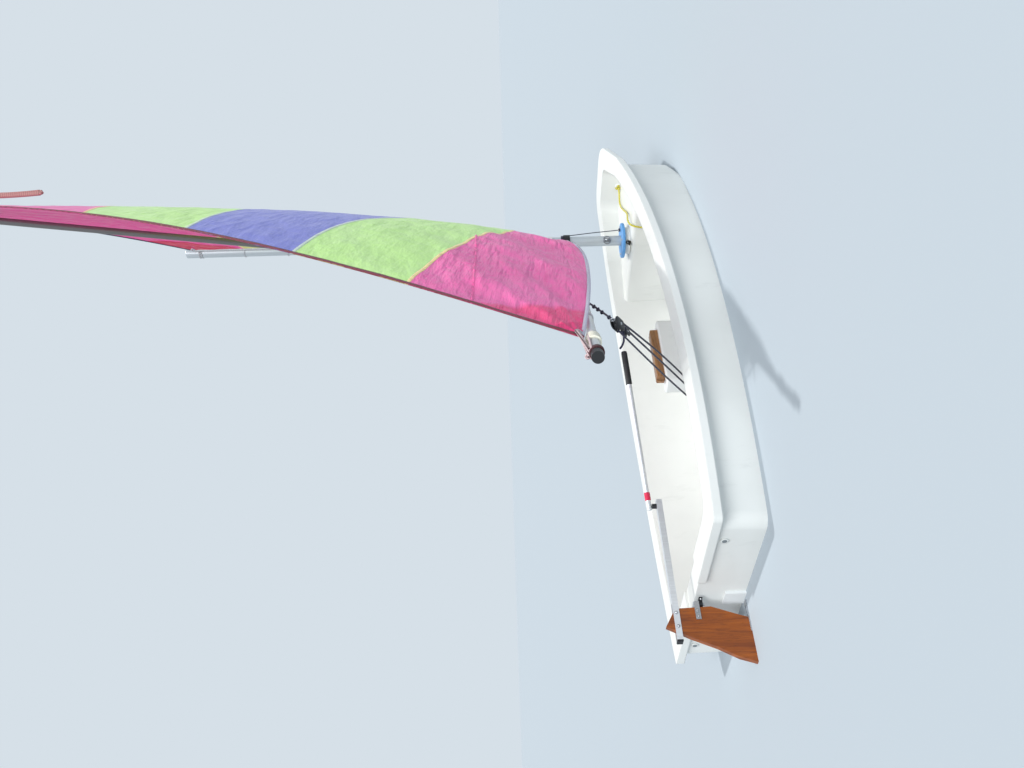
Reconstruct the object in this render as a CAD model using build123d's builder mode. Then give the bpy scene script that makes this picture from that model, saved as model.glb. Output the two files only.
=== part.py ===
"""Pram sailing dinghy with a spritsail rig, afloat.

Millimetres. +X points to the bow, +Y to port, +Z up. The origin is on the
centreline amidships, at the water's surface.
"""
from build123d import *
import os
from math import atan2, cos, degrees, pi, radians, sin, tan

os.makedirs("parts", exist_ok=True)

# Hull moulding: half lengths and half breadths of its outer rim
half_length = 1150.0
stern_half = 486.0
widest_from_stern, widest_half = 805.0, 580.0
shoulder_from_bow, shoulder_half = 345.0, 348.0
bow_half = 165.0
bow_corner_r = 140.0
stern_corner_r, lip_corner_r = 48.0, 24.0

# Sheer of the rim and rocker of the bottom, as heights above the water
sheer_stern, sheer_mid, sheer_bow = 173.0, 200.0, 288.0
rocker_low_from_stern, rocker_low = 1000.0, -145.0
rocker_stern, rocker_from_bow, rocker_bow = -95.0, 150.0, 75.0

# Rim lip, walls and floor
lip_overhang, lip_depth, aft_overhang = 30.0, 28.0, 14.0
lip_edge, case_edge = 3.0, 4.0
rim_width = 92.0
side_flare = 26.0
bow_rake = 118.0
chine_r = 36.0
floor_thickness = 34.0
inner_wall_lean, bow_wall_lean = 30.0, 114.0
cockpit_corner_r, inner_bow_corner_r = 60.0, 70.0
shelf_z, shelf_from_bow, shelf_edge_r = 190.0, 550.0, 22.0
notch_half, notch_drop = 115.0, 8.0

# Daggerboard and its case
board_x = -50.0
board_width, board_thick, board_length = 285.0, 14.5, 1067.0
board_round = 5.0
slot_gap = 4.0
case_wall, case_end_wall, case_top_z = 30.0, 28.0, 137.0
head_length, head_thick, head_height = 250.0, 44.0, 32.0
head_neck = 6.0

# Mast, its collar and its seat in the bow tank
mast_from_bow, mast_r = 487.0, 22.5
mast_heel_z, mast_top_z = 10.0, 2180.0
seat_gap = 0.5
boss_r, boss_height = 62.0, 22.0
collar_r, collar_thick = 78.0, 13.0

# Boom and its jaw
boom_z, boom_r = 470.0, 16.0
boom_angle, boom_rise = 31.5, 1.6
boom_end = 1890.0
jaw_gap, jaw_height, jaw_wall = 0.4, 28.0, 9.0
cap_length, cap_r = 34.0, 18.0
boom_block_out, boom_block_size, boom_block_width, boom_block_thick = 1450.0, 58.0, 36.0, 22.0
band_thick = 2.5

# Sprit and the loop that holds its heel
sprit_r, sprit_heel_z, sprit_side, sprit_aft = 13.5, 1190.0, 48.0, 21.0

# Sail: corners measured from the mast axis, then its camber
sail_thick = 4.0
seat = 0.3
tie_wire, tie_sides, tie_count = 5.0, 12, 9
luff_out = (mast_r + jaw_gap + tie_wire) / cos(radians(180 / tie_sides)) + seat
tack_z, throat_z = 530.0, 2135.0
clew_out, clew_z = 1694.0, 544.0
peak = Vector(181.0, -696.0, 3103.0)
sail_draft = 0.454
sail_rows = [
    # share up the luff, camber share of the chord, fall of the leech to leeward, its
    # hollow, and the droop of the camber in degrees
    (0.00, 0.069, 0.0, 0.0, 39.0),
    (0.33, 0.088, 97.0, -8.0, 0.0),
    (0.67, 0.065, 100.0, 40.0, 0.0),
    (1.00, 0.017, 0.0, 0.0, 0.0),
]

# Rudder hung on two gudgeons aft of the transom
pintle_reach = 27.0
pintle_r, pintle_gap = 5.0, 0.1
rudder_thick = 18.0
gudgeon_heights = [150.0, -20.0]
gudgeon_height, gudgeon_half, gudgeon_r = 12.0, 20.0, 9.0
strap_height, strap_thick, strap_length = 17.0, 3.0, 88.0
strap_nose, strap_wrap = 6.0, 16.0
rudder_outline = [
    # distance aft of the pintles and height of the blade's corners, from the head
    (80.0, 275.0),
    (17.0, 238.0),
    (13.0, 120.0),
    (47.0, 28.0),
    (119.0, -200.0),
    (214.0, -500.0),
    (384.0, -470.0),
    (222.0, -35.0),
    (192.0, 55.0),
    (156.0, 118.0),
    (118.0, 202.0),
]

# Tiller and its extension
tiller_aft, tiller_fore = 127.0, 413.0
tiller_z, tiller_height, tiller_wall = 236.0, 20.0, 3.0
extension_length, extension_r = 600.0, 9.0
extension_angle, extension_lift = 24.0, 5.0

# Small fittings
pad_half, pad_thick, pad_low, pad_high = 34.0, 10.0, -70.0, 148.0
plug_r, plug_thick, plug_y, plug_z = 13.0, 4.0, 350.0, 120.0
block_aft_of_board, block_base_r, block_base_height = 350.0, 26.0, 12.0
block_size, block_width, block_thick, block_lift = 72.0, 40.0, 22.0, 1.0
cleat_pad_width, cleat_pad_height, cleat_pad_thick = 16.0, 34.0, 4.0
cleat_z, cleat_turn, cleat_eye_r, cleat_wire = 290.0, 229.0, 11.0, 4.0
bow_eye_z, eye_outer_r, eye_hole_r = 200.0, 15.0, 8.0
eye_thick, eye_reach = 6.0, 22.0
tiller_cap_thick = 7.0
toe_strap_width, toe_strap_thick, toe_strap_lift = 42.0, 3.0, 0.0
toe_strap_fore_y, toe_strap_aft_y, toe_strap_aft_z = 62.0, 140.0, 20.0
painter_r, painter_sides, painter_lift, painter_total = 4.0, 8, 0.8, 2950.0
coil_mean_r, coil_turns_wide, coil_lift = 44.0, 4, 1.0
knot_r, knot_reach, knot_length = 9.0, 14.0, 34.0


# Places that follow from the sizes above
widest_x = -half_length + widest_from_stern
shoulder_x = half_length - shoulder_from_bow
shelf_aft_x = half_length - shelf_from_bow
mast_x = half_length - mast_from_bow
transom_x = -half_length + aft_overhang
rudder_axis_x = transom_x - pintle_reach
tiller_aft_x = rudder_axis_x - tiller_aft
tiller_front_x = rudder_axis_x + tiller_fore
block_base_x = board_x - block_aft_of_board


def sheer_z(x):
    """Height of the rim at x, on the parabola through its three heights."""
    s = (x + half_length) / (2 * half_length)
    aft, mid, fore = (1 - s) * (1 - 2 * s), 4 * s * (1 - s), s * (2 * s - 1)
    return sheer_stern * aft + sheer_mid * mid + sheer_bow * fore


def hull_plan(level, inset, aft_inset, front_x, corner_r, aft_corner_r):
    """Outline in plan at a level, inset from the rim, as a sketch."""
    aft = (-half_length + aft_inset, stern_half - inset)
    shoulder = (shoulder_x, shoulder_half - inset)
    nose = (front_x, bow_half - inset * 0.6)
    with BuildSketch(Plane.XY.offset(level)) as plan:
        with BuildLine():
            Line((aft[0], 0), aft)
            ThreePointArc(aft, (widest_x, widest_half - inset), shoulder)
            Line(shoulder, nose)
            Line(nose, (front_x, 0))
            Line((front_x, 0), (aft[0], 0))
        make_face()
        corners = plan.vertices().filter_by(lambda v: v.Y > 1)
        fillet(corners.filter_by(lambda v: abs(v.X - front_x) < 0.01), corner_r)
        corners = plan.vertices().filter_by(lambda v: v.Y > 1)
        fillet(corners.filter_by(lambda v: abs(v.X - aft[0]) < 0.01), aft_corner_r)
        mirror(about=Plane.XZ)
    return plan.sketch


def side_profile(low, high):
    """Side profile between a low and a high three-point arc, as a sketch."""
    with BuildSketch(Plane.XZ) as profile:
        with BuildLine():
            ThreePointArc(*low)
            Line(low[2], high[2])
            ThreePointArc(high[2], high[1], high[0])
            Line(high[0], low[0])
        make_face()
    return profile.sketch


reach = half_length + 100.0
sheer_line = [(x, sheer_z(x)) for x in (-reach, 0.0, reach)]
sheer_low = [(x, z - lip_depth) for x, z in sheer_line]


def rocker_z(x):
    """Height of the bottom on the centreline at x, on a parabola."""
    x0, z0 = -half_length, rocker_stern
    x1, z1 = half_length - rocker_from_bow, rocker_bow
    xm, zm = -half_length + rocker_low_from_stern, rocker_low
    first = (zm - z0) / (xm - x0)
    second = ((z1 - zm) / (x1 - xm) - first) / (x1 - x0)
    return z0 + first * (x - x0) + second * (x - x0) * (x - xm)


def floor_z(x):
    """Height of the cockpit floor at a distance along the hull."""
    return rocker_z(x) + floor_thickness


rocker_line = [(x, rocker_z(x)) for x in (-reach, 0.0, reach)]
floor_line = [(x, floor_z(x)) for x, z in rocker_line]

low_level, high_level = -190.0, 320.0
front_high = half_length - lip_overhang
front_low = front_high - bow_rake * (high_level - low_level) / 200.0

# Outer form of the moulding without its lip
with BuildPart() as outer:
    add(hull_plan(low_level, lip_overhang + side_flare, aft_overhang, front_low,
                  bow_corner_r, stern_corner_r))
    add(hull_plan(high_level, lip_overhang, aft_overhang, front_high,
                  bow_corner_r, stern_corner_r))
    loft(ruled=True)
    extrude(side_profile(rocker_line, sheer_line), amount=2 * widest_half, both=True,
            mode=Mode.INTERSECT)
    bottom = outer.faces().filter_by(lambda f: f.normal_at().Z < -0.9)
    fillet(bottom.edges(), chine_r)

# Lip that runs round the rim
with BuildPart() as lip:
    extrude(hull_plan(100.0, 0.0, 0.0, half_length, bow_corner_r, lip_corner_r), amount=300.0)
    extrude(side_profile(sheer_low, sheer_line), amount=2 * widest_half, both=True,
            mode=Mode.INTERSECT)
    chamfer(lip.faces().sort_by(Axis.Z)[-1].edges(), lip_edge)

# Room of the cockpit and the recess over the bow tank
inner_front = half_length - rim_width
with BuildPart() as room:
    lean = rim_width + inner_wall_lean
    add(hull_plan(low_level, lean, lean, inner_front - bow_wall_lean,
                  inner_bow_corner_r, cockpit_corner_r))
    add(hull_plan(high_level, rim_width, rim_width, inner_front,
                  inner_bow_corner_r, cockpit_corner_r))
    loft(ruled=True)
    with BuildSketch(Plane.XZ):
        with BuildLine():
            floor_end = (shelf_aft_x, floor_z(shelf_aft_x))
            ThreePointArc(floor_line[0], floor_line[1], floor_end)
            Line(floor_end, (shelf_aft_x, shelf_z))
            Line((shelf_aft_x, shelf_z), (reach, shelf_z))
            Line((reach, shelf_z), (reach, high_level + 50))
            Line((reach, high_level + 50), (-reach, high_level + 50))
            Line((-reach, high_level + 50), floor_line[0])
        make_face()
        edge_corner = vertices().filter_by(
            lambda v: abs(v.X - shelf_aft_x) < 0.01 and abs(v.Y - shelf_z) < 0.01)
        fillet(edge_corner, shelf_edge_r)
    extrude(amount=2 * widest_half, both=True, mode=Mode.INTERSECT)

slot_half_length = board_width / 2 + slot_gap
slot_half_width = board_thick / 2 + slot_gap
with BuildPart() as hull:
    add(outer.part)
    add(lip.part)
    add(room.part, mode=Mode.SUBTRACT)
    # Flat notch in the transom's rim where the tiller passes, its lip cut away
    with BuildSketch(Plane.XY.offset(sheer_stern - notch_drop)):
        with Locations((-half_length + rim_width / 2, 0)):
            Rectangle(rim_width + 60, 2 * notch_half)
    extrude(amount=100.0, mode=Mode.SUBTRACT)
    with BuildSketch(Plane.XY.offset(sheer_stern - lip_depth - 30)):
        with Locations((-half_length, 0)):
            Rectangle(2 * aft_overhang, 2 * notch_half)
    extrude(amount=100.0, mode=Mode.SUBTRACT)
    # Boss that carries the mast's collar, and the mast's seat
    with BuildSketch(Plane.XY.offset(shelf_z - 1)):
        with Locations((mast_x, 0)):
            Circle(boss_r)
    extrude(amount=boss_height + 1, taper=12)
    with BuildSketch(Plane.XY.offset(mast_heel_z)):
        with Locations((mast_x, 0)):
            Circle(mast_r + seat_gap)
    extrude(amount=400.0, mode=Mode.SUBTRACT)
    # Slot of the daggerboard through the bottom
    with BuildSketch(Plane.XY.offset(-300.0)):
        with Locations((board_x, 0)):
            Rectangle(2 * slot_half_length, 2 * slot_half_width)
    extrude(amount=400.0, mode=Mode.SUBTRACT)
hull.part.label = "hull_moulding"
export_step(hull.part, "parts/hull_moulding.step")

# Daggerboard case, standing on the cockpit floor
with BuildPart() as case:
    with BuildSketch(Plane.XY.offset(case_top_z)):
        with Locations((board_x, 0)):
            RectangleRounded(2 * (slot_half_length + case_end_wall),
                             2 * (slot_half_width + case_wall), case_wall * 0.9)
    extrude(amount=-(case_top_z - low_level))
    chamfer(case.faces().sort_by(Axis.Z)[-1].edges(), case_edge)
    with BuildSketch(Plane.XY.offset(case_top_z + 1)):
        with Locations((board_x, 0)):
            Rectangle(2 * slot_half_length, 2 * slot_half_width)
    extrude(amount=-500.0, mode=Mode.SUBTRACT)
    add(room.part, mode=Mode.INTERSECT)
case.part.label = "daggerboard_case"
export_step(case.part, "parts/daggerboard_case.step")

# Daggerboard, pushed right down: its head rests on the case
board_top = case_top_z - head_neck
with BuildPart() as board:
    with BuildSketch(Plane.XZ):
        with Locations((board_x, board_top - board_length / 2)):
            Rectangle(board_width, board_length)
        fillet(vertices().sort_by(Axis.Y)[0:2], 60)
        with Locations((board_x, board_top + (head_neck + head_height) / 2)):
            Rectangle(head_length, head_neck + head_height)
    extrude(amount=board_thick / 2, both=True)
    sides = board.edges().filter_by(Axis.Z)
    chamfer(sides, board_round, board_round * 0.8)
board.part.label = "daggerboard"
export_step(board.part, "parts/daggerboard.step")

# Cheeks that stop the head on the case, one each side
with BuildPart() as cheeks:
    with BuildSketch(Plane.XY.offset(case_top_z + seat)):
        for side in (-1, 1):
            cheek_thick = (head_thick - board_thick) / 2
            with Locations((board_x, side * (board_thick / 2 + cheek_thick / 2))):
                Rectangle(head_length, cheek_thick)
    extrude(amount=head_height - seat)
    chamfer(cheeks.faces().filter_by(Axis.Z).group_by(Axis.Z)[-1].edges(), 3)
cheeks.part.label = "daggerboard_cheeks"
export_step(cheeks.part, "parts/daggerboard_cheeks.step")

# Mast
with BuildPart() as mast:
    with BuildSketch(Plane.XY.offset(mast_heel_z)):
        with Locations((mast_x, 0)):
            Circle(mast_r)
    extrude(amount=mast_top_z - mast_heel_z)
    chamfer(mast.edges().sort_by(Axis.Z)[-1], 4)
mast.part.label = "mast"
export_step(mast.part, "parts/mast.step")

# Collar on the boss
collar_z = shelf_z + boss_height
with BuildPart() as collar:
    with BuildSketch(Plane.XY.offset(collar_z)):
        with Locations((mast_x, 0)):
            Circle(collar_r)
            Circle(mast_r + seat_gap, mode=Mode.SUBTRACT)
    extrude(amount=collar_thick)
    chamfer(collar.edges().filter_by(GeomType.CIRCLE).group_by(SortBy.RADIUS)[-1], 2)
collar.part.label = "mast_collar"
export_step(collar.part, "parts/mast_collar.step")

# Eye for the halyard's tail, riveted to the mast where it faces aft and to starboard
cleat_out = Vector(cos(radians(cleat_turn)), sin(radians(cleat_turn)), 0)
with BuildPart() as cleat:
    pad_at = Vector(mast_x, 0, cleat_z) + cleat_out * (mast_r + jaw_gap)
    with BuildSketch(Plane(pad_at, x_dir=(0, 0, 1), z_dir=cleat_out)):
        RectangleRounded(cleat_pad_height, cleat_pad_width, cleat_pad_width / 2 - 1)
    extrude(amount=cleat_pad_thick)
    ring_at = pad_at + cleat_out * (cleat_pad_thick + cleat_eye_r - cleat_wire / 2)
    with BuildSketch(Plane(ring_at, x_dir=cleat_out, z_dir=cleat_out.cross(Vector(0, 0, 1)))):
        RegularPolygon(cleat_eye_r, 20)
        RegularPolygon(cleat_eye_r - cleat_wire, 20, mode=Mode.SUBTRACT)
    extrude(amount=cleat_wire / 2, both=True)
cleat.part.label = "mast_cleat"
export_step(cleat.part, "parts/mast_cleat.step")

# Boom axis from the mast, out to starboard
out = Vector(-cos(radians(boom_angle)), -sin(radians(boom_angle)), 0)
along = (out * cos(radians(boom_rise)) + Vector(0, 0, sin(radians(boom_rise)))).normalized()
boom_root = Vector(mast_x, 0, boom_z)
across = Vector(0, 0, 1).cross(out)


def boom_plane(distance, lift=0.0):
    """Plane square to the boom at a distance from the mast's axis."""
    return Plane(boom_root + along * distance + Vector(0, 0, lift), x_dir=across, z_dir=along)


jaw_inner_r = mast_r + jaw_gap
jaw_outer_r = jaw_inner_r + jaw_wall
boom_start = jaw_outer_r + 6
with BuildPart() as boom:
    with BuildSketch(boom_plane(boom_start)):
        Circle(boom_r)
    extrude(amount=boom_end - boom_start - cap_length)
boom.part.label = "boom"
export_step(boom.part, "parts/boom.step")

# Jaw that half clasps the mast and plugs into the boom's front
with BuildPart() as jaw:
    with BuildSketch(Plane.XY.offset(boom_z - jaw_height / 2)):
        with Locations((mast_x, 0)):
            Circle(jaw_outer_r)
        with Locations(Location((mast_x, 0), degrees(atan2(out.Y, out.X)))):
            with Locations((jaw_outer_r + 1, 0)):
                Rectangle(14, 2 * boom_r)
            Circle(jaw_inner_r, mode=Mode.SUBTRACT)
            with Locations((-jaw_outer_r - 12, 0)):
                Rectangle(2 * jaw_outer_r, 3 * jaw_outer_r, mode=Mode.SUBTRACT)
    extrude(amount=jaw_height)
    with BuildSketch(boom_plane(boom_start)):
        Circle(boom_r + 30)
    extrude(amount=60, mode=Mode.SUBTRACT)
jaw.part.label = "boom_jaw"
export_step(jaw.part, "parts/boom_jaw.step")

with BuildPart() as boom_cap:
    with BuildSketch(boom_plane(boom_end - cap_length)):
        Circle(cap_r)
    extrude(amount=cap_length)
boom_cap.part.label = "boom_end_cap"
export_step(boom_cap.part, "parts/boom_end_cap.step")


with BuildPart() as bands:
    for band_out, band_width in ((1660.0, 45.0), (boom_block_out - 11, 22.0), (950.0, 22.0)):
        with BuildSketch(boom_plane(band_out)):
            Circle(boom_r + band_thick)
            Circle(boom_r, mode=Mode.SUBTRACT)
        extrude(amount=band_width)
bands.part.label = "boom_bands"
export_step(bands.part, "parts/boom_bands.step")

# Sail corners
throat = Vector(mast_x, 0, throat_z)
tack = Vector(mast_x, 0, tack_z) + out * luff_out
clew = Vector(mast_x, 0, clew_z) + out * clew_out
head_flat = Vector(peak.X - mast_x, peak.Y, 0).normalized()
throat = throat + head_flat * luff_out


def leeward(chord):
    """Level direction square to a chord, on the side away from the wind."""
    side = chord.cross(Vector(0, 0, 1)).normalized()
    return side if side.Y < 0 else side * -1


def sail_section(share, camber, fall, hollow, droop):
    """Thin crescent across the sail at a share of its height."""
    luff = tack + (throat - tack) * share
    leech = clew + (peak - clew) * share
    leech = leech + leeward(leech - luff) * fall - (leech - luff).normalized() * hollow
    chord = leech - luff
    lee = leeward(chord).rotate(Axis((0, 0, 0), chord), -droop)
    middle = luff + chord * sail_draft + lee * chord.length * camber
    skin = lee * sail_thick
    plane = Plane(luff, x_dir=chord.normalized(), z_dir=chord.cross(lee))
    pts = [plane.to_local_coords(p) for p in
           (luff, middle, leech, leech + skin, middle + skin, luff + skin)]
    with BuildSketch(plane) as section:
        with BuildLine():
            ThreePointArc(pts[0], pts[1], pts[2])
            Line(pts[2], pts[3])
            ThreePointArc(pts[3], pts[4], pts[5])
            Line(pts[5], pts[0])
        make_face()
    return section.sketch


with BuildPart() as sail:
    for row in sail_rows:
        add(sail_section(*row))
    loft()
sail.part.label = "sail"
export_step(sail.part, "parts/sail.step")

# Sprit from its heel loop on the mast's port side up to the peak
sprit_heel = Vector(mast_x - sprit_aft, sprit_side, sprit_heel_z)
sprit_top = peak - leeward(peak - throat) * (sprit_r + seat)
sprit_dir = (sprit_top - sprit_heel).normalized()
with BuildPart() as sprit:
    with BuildSketch(Plane(sprit_heel, z_dir=sprit_dir)):
        Circle(sprit_r)
    extrude(amount=(sprit_top - sprit_heel).length)
    chamfer(sprit.edges().filter_by(GeomType.CIRCLE), 3)
sprit.part.label = "sprit"
export_step(sprit.part, "parts/sprit.step")

# Lashings that tie the luff to the mast
tie_inner = mast_r + jaw_gap
with BuildPart() as luff_ties:
    for level in range(tie_count):
        tie_z = tack_z + 40 + level * (throat_z - tack_z - 70) / (tie_count - 1)
        with BuildSketch(Plane.XY.offset(tie_z)):
            with Locations((mast_x, 0)):
                RegularPolygon(tie_inner + tie_wire, tie_sides, major_radius=False)
                RegularPolygon(tie_inner, tie_sides, major_radius=False, mode=Mode.SUBTRACT)
        extrude(amount=tie_wire)
luff_ties.part.label = "luff_ties"
export_step(luff_ties.part, "parts/luff_ties.step")

# Transom pad and gudgeons
with BuildPart() as pad:
    with BuildSketch(Plane((transom_x, 0, 0), x_dir=(0, 1, 0), z_dir=(-1, 0, 0))):
        with Locations((0, (pad_low + pad_high) / 2)):
            Rectangle(2 * pad_half, pad_high - pad_low)
    extrude(amount=pad_thick)
pad.part.label = "transom_pad"
export_step(pad.part, "parts/transom_pad.step")

pad_face_x = transom_x - pad_thick
with BuildPart() as gudgeons:
    for height in gudgeon_heights:
        with BuildSketch(Plane.XY.offset(height - gudgeon_height / 2)):
            with Locations((pad_face_x - 2, 0)):
                Rectangle(4, 2 * gudgeon_half)
            arm = pad_face_x - rudder_axis_x
            with Locations((pad_face_x - arm / 2, 0)):
                Rectangle(arm, 2 * gudgeon_r)
            with Locations((rudder_axis_x, 0)):
                Circle(gudgeon_r)
                Circle(pintle_r + pintle_gap, mode=Mode.SUBTRACT)
        extrude(amount=gudgeon_height)
gudgeons.part.label = "gudgeons"
export_step(gudgeons.part, "parts/gudgeons.step")

with BuildPart() as plugs:
    for side in (-1, 1):
        with BuildSketch(Plane((transom_x, side * plug_y, plug_z),
                               x_dir=(0, 1, 0), z_dir=(-1, 0, 0))):
            Circle(plug_r)
        extrude(amount=plug_thick)
plugs.part.label = "transom_plugs"
export_step(plugs.part, "parts/transom_plugs.step")

# Rudder blade
with BuildPart() as rudder:
    with BuildSketch(Plane.XZ):
        with BuildLine():
            Polyline(*[(rudder_axis_x - aft, z) for aft, z in rudder_outline], close=True)
        make_face()
        fillet(vertices().sort_by(Axis.Y)[0:2], 60)
    extrude(amount=rudder_thick / 2, both=True)
rudder.part.label = "rudder_blade"
export_step(rudder.part, "parts/rudder_blade.step")


def strap_reach(z):
    """Distance aft of the pintles of the blade's leading edge at a height."""
    for (low_aft, low_z), (high_aft, high_z) in zip(rudder_outline[2:5], rudder_outline[1:4]):
        if low_z <= z <= high_z:
            return low_aft + (high_aft - low_aft) * (z - low_z) / (high_z - low_z)
    return rudder_outline[1][0]


# Straps round the blade, each with the pintle that drops into a gudgeon
with BuildPart() as straps:
    for height in gudgeon_heights:
        strap_z = height + gudgeon_height / 2 + 1
        aft_of_pin = strap_reach(strap_z) + strap_length / 2
        fore_x, aft_x = rudder_axis_x + strap_nose, rudder_axis_x - aft_of_pin
        with BuildSketch(Plane.XY.offset(strap_z)):
            with Locations(((fore_x + aft_x) / 2, 0)):
                Rectangle(fore_x - aft_x, rudder_thick + 2 * (strap_thick + seat))
            with Locations(((fore_x + aft_x) / 2 - strap_wrap, 0)):
                Rectangle(fore_x - aft_x, rudder_thick + 2 * seat, mode=Mode.SUBTRACT)
        extrude(amount=strap_height)
        with BuildSketch(Plane.XY.offset(strap_z)):
            with Locations((rudder_axis_x, 0)):
                Circle(gudgeon_r)
        extrude(amount=strap_height)
        with BuildSketch(Plane.XY.offset(height - gudgeon_height / 2 - 6)):
            with Locations((rudder_axis_x, 0)):
                Circle(pintle_r)
        extrude(amount=gudgeon_height + 8)
straps.part.label = "rudder_straps"
export_step(straps.part, "parts/rudder_straps.step")

# Tiller: two cheeks aft joined in a box tube that runs forward
tiller_length = tiller_front_x - tiller_aft_x
tiller_half = rudder_thick / 2 + seat + tiller_wall
with BuildPart() as tiller:
    with BuildSketch(Plane.XY.offset(tiller_z - tiller_height / 2)):
        with Locations(((tiller_aft_x + tiller_front_x) / 2, 0)):
            Rectangle(tiller_length, 2 * tiller_half)
        with Locations((tiller_aft_x + 60, 0)):
            Rectangle(140, rudder_thick + 0.6, mode=Mode.SUBTRACT)
    extrude(amount=tiller_height)
tiller.part.label = "tiller"
export_step(tiller.part, "parts/tiller.step")

# Extension on a swivel over the tiller's front end
swivel_x = tiller_front_x - 22
swivel_z = tiller_z + tiller_height / 2
swivel_r, swivel_height = 9.0, 16.0
with BuildPart() as swivel:
    with BuildSketch(Plane.XY.offset(swivel_z)):
        with Locations((swivel_x, 0)):
            Circle(swivel_r)
    extrude(amount=swivel_height)
swivel.part.label = "extension_swivel"
export_step(swivel.part, "parts/extension_swivel.step")

extension_z = swivel_z + swivel_height + extension_r + 1.6
reach_dir = Vector(cos(radians(extension_angle)), -sin(radians(extension_angle)), 0)
reach_dir = (reach_dir + Vector(0, 0, sin(radians(extension_lift)))).normalized()
with BuildPart() as extension:
    extension_foot = Vector(swivel_x, 0, extension_z) - reach_dir * 14
    with BuildSketch(Plane(extension_foot, z_dir=reach_dir)):
        Circle(extension_r)
    extrude(amount=extension_length)
extension.part.label = "tiller_extension"
export_step(extension.part, "parts/tiller_extension.step")

# Sheet block on its base, which stands square to the cockpit floor
with BuildPart() as block_base:
    rise = floor_z(block_base_x + block_base_r) - floor_z(block_base_x - block_base_r)
    block_slope = atan2(rise, 2 * block_base_r)
    block_up = Vector(-sin(block_slope), 0, cos(block_slope))
    block_fore = Vector(cos(block_slope), 0, sin(block_slope))
    block_foot = Vector(block_base_x, 0, floor_z(block_base_x)) + block_up * block_lift
    with BuildSketch(Plane(block_foot, x_dir=block_fore, z_dir=block_up)):
        Circle(block_base_r)
    extrude(amount=block_base_height)
    block_middle = block_foot + block_up * (block_base_height + block_size / 2 - 4)
    with BuildSketch(Plane(block_middle, x_dir=block_fore, z_dir=(0, -1, 0))):
        SlotOverall(block_size, block_width, rotation=90)
    extrude(amount=block_thick / 2, both=True)
block_base.part.label = "sheet_block_floor"
export_step(block_base.part, "parts/sheet_block_floor.step")

# Block that hangs under the boom
with BuildPart() as boom_block:
    hang_drop = boom_r + band_thick + seat + boom_block_size / 2
    hang = boom_root + along * boom_block_out - Vector(0, 0, hang_drop)
    with BuildSketch(Plane(hang, x_dir=out, z_dir=out.cross(Vector(0, 0, 1)))):
        SlotOverall(boom_block_size, boom_block_width, rotation=90)
    extrude(amount=boom_block_thick / 2, both=True)
boom_block.part.label = "sheet_block_boom"
export_step(boom_block.part, "parts/sheet_block_boom.step")

# Towing eye: an upright plate with a hole, let into the bow's face
with BuildPart() as bow_eye:
    eye_x = front_high - bow_rake * (high_level - bow_eye_z) / 200.0 + eye_reach
    with BuildSketch(Plane.XZ):
        with Locations((eye_x, bow_eye_z)):
            Circle(eye_outer_r)
        with Locations((eye_x - eye_outer_r, bow_eye_z)):
            Rectangle(2 * eye_outer_r, 2 * eye_outer_r)
        with Locations((eye_x, bow_eye_z)):
            Circle(eye_hole_r, mode=Mode.SUBTRACT)
    extrude(amount=eye_thick / 2, both=True)
    add(hull.part, mode=Mode.SUBTRACT)
bow_eye.part.label = "bow_eye"
export_step(bow_eye.part, "parts/bow_eye.step")

# Black cap that closes the tiller's aft end
with BuildPart() as tiller_cap:
    with BuildSketch(Plane.YZ.offset(tiller_aft_x - tiller_cap_thick)):
        with Locations((0, tiller_z)):
            Rectangle(2 * tiller_half, tiller_height)
    extrude(amount=tiller_cap_thick)
    chamfer(tiller_cap.faces().sort_by(Axis.X)[0].edges(), 2)
tiller_cap.part.label = "tiller_cap"
export_step(tiller_cap.part, "parts/tiller_cap.step")

# Toe straps from the case's aft end to the transom's inner face
case_aft_x = board_x - slot_half_length - case_end_wall
strap_low_z = floor_z(case_aft_x) + toe_strap_lift
for name, side in (("toe_strap_port", 1), ("toe_strap_starboard", -1)):
    with BuildPart() as toe_strap:
        fore = Vector(case_aft_x - 1, side * toe_strap_fore_y, strap_low_z)
        aft = Vector(-half_length + rim_width / 2, side * toe_strap_aft_y, toe_strap_aft_z)
        run = aft - fore
        flat = run.cross(Vector(0, 0, 1)).normalized()
        with BuildSketch(Plane(fore, x_dir=flat, z_dir=run)):
            Rectangle(toe_strap_width, toe_strap_thick)
        extrude(amount=run.length)
        add(room.part, mode=Mode.INTERSECT)
    toe_strap.part.label = name
    export_step(toe_strap.part, f"parts/{name}.step")


def on_floor(x, y):
    """Point of the painter's route that lies on the cockpit floor."""
    return (x, y, floor_z(x) + painter_r + painter_lift)


# Painter: from the bow's inner face, over the shelf and down on the floor
painter_route = [
    (1023, -15, 199),
    (1005, -5, 197),
    (983, 13, 198),
    (952, 21, 198),
    (912, 10, 198),
    (863, -18, 198),
    (811, -51, 198),
    (757, -87, 198),
    (702, -116, 199),
    (648, -134, 207),
    (598, -143, 203),
    (579, -143, 158),
    (583, -139, 96),
    (582, -131, 38),
    (556, -114, 4),
    on_floor(506, -94),
    on_floor(452, -86),
    on_floor(404, -106),
    on_floor(365, -138),
]


def corner_radii(route):
    """Radius of the arc at each inner point: 0.45 of the shorter run over tan(turn / 2)."""
    radii = []
    for before, here, after in zip(route, route[1:], route[2:]):
        run_in = Vector(*here) - Vector(*before)
        run_out = Vector(*after) - Vector(*here)
        half_turn = radians(run_in.get_angle(run_out)) / 2
        radii.append(0.45 * min(run_in.length, run_out.length) / tan(half_turn))
    return radii


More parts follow.
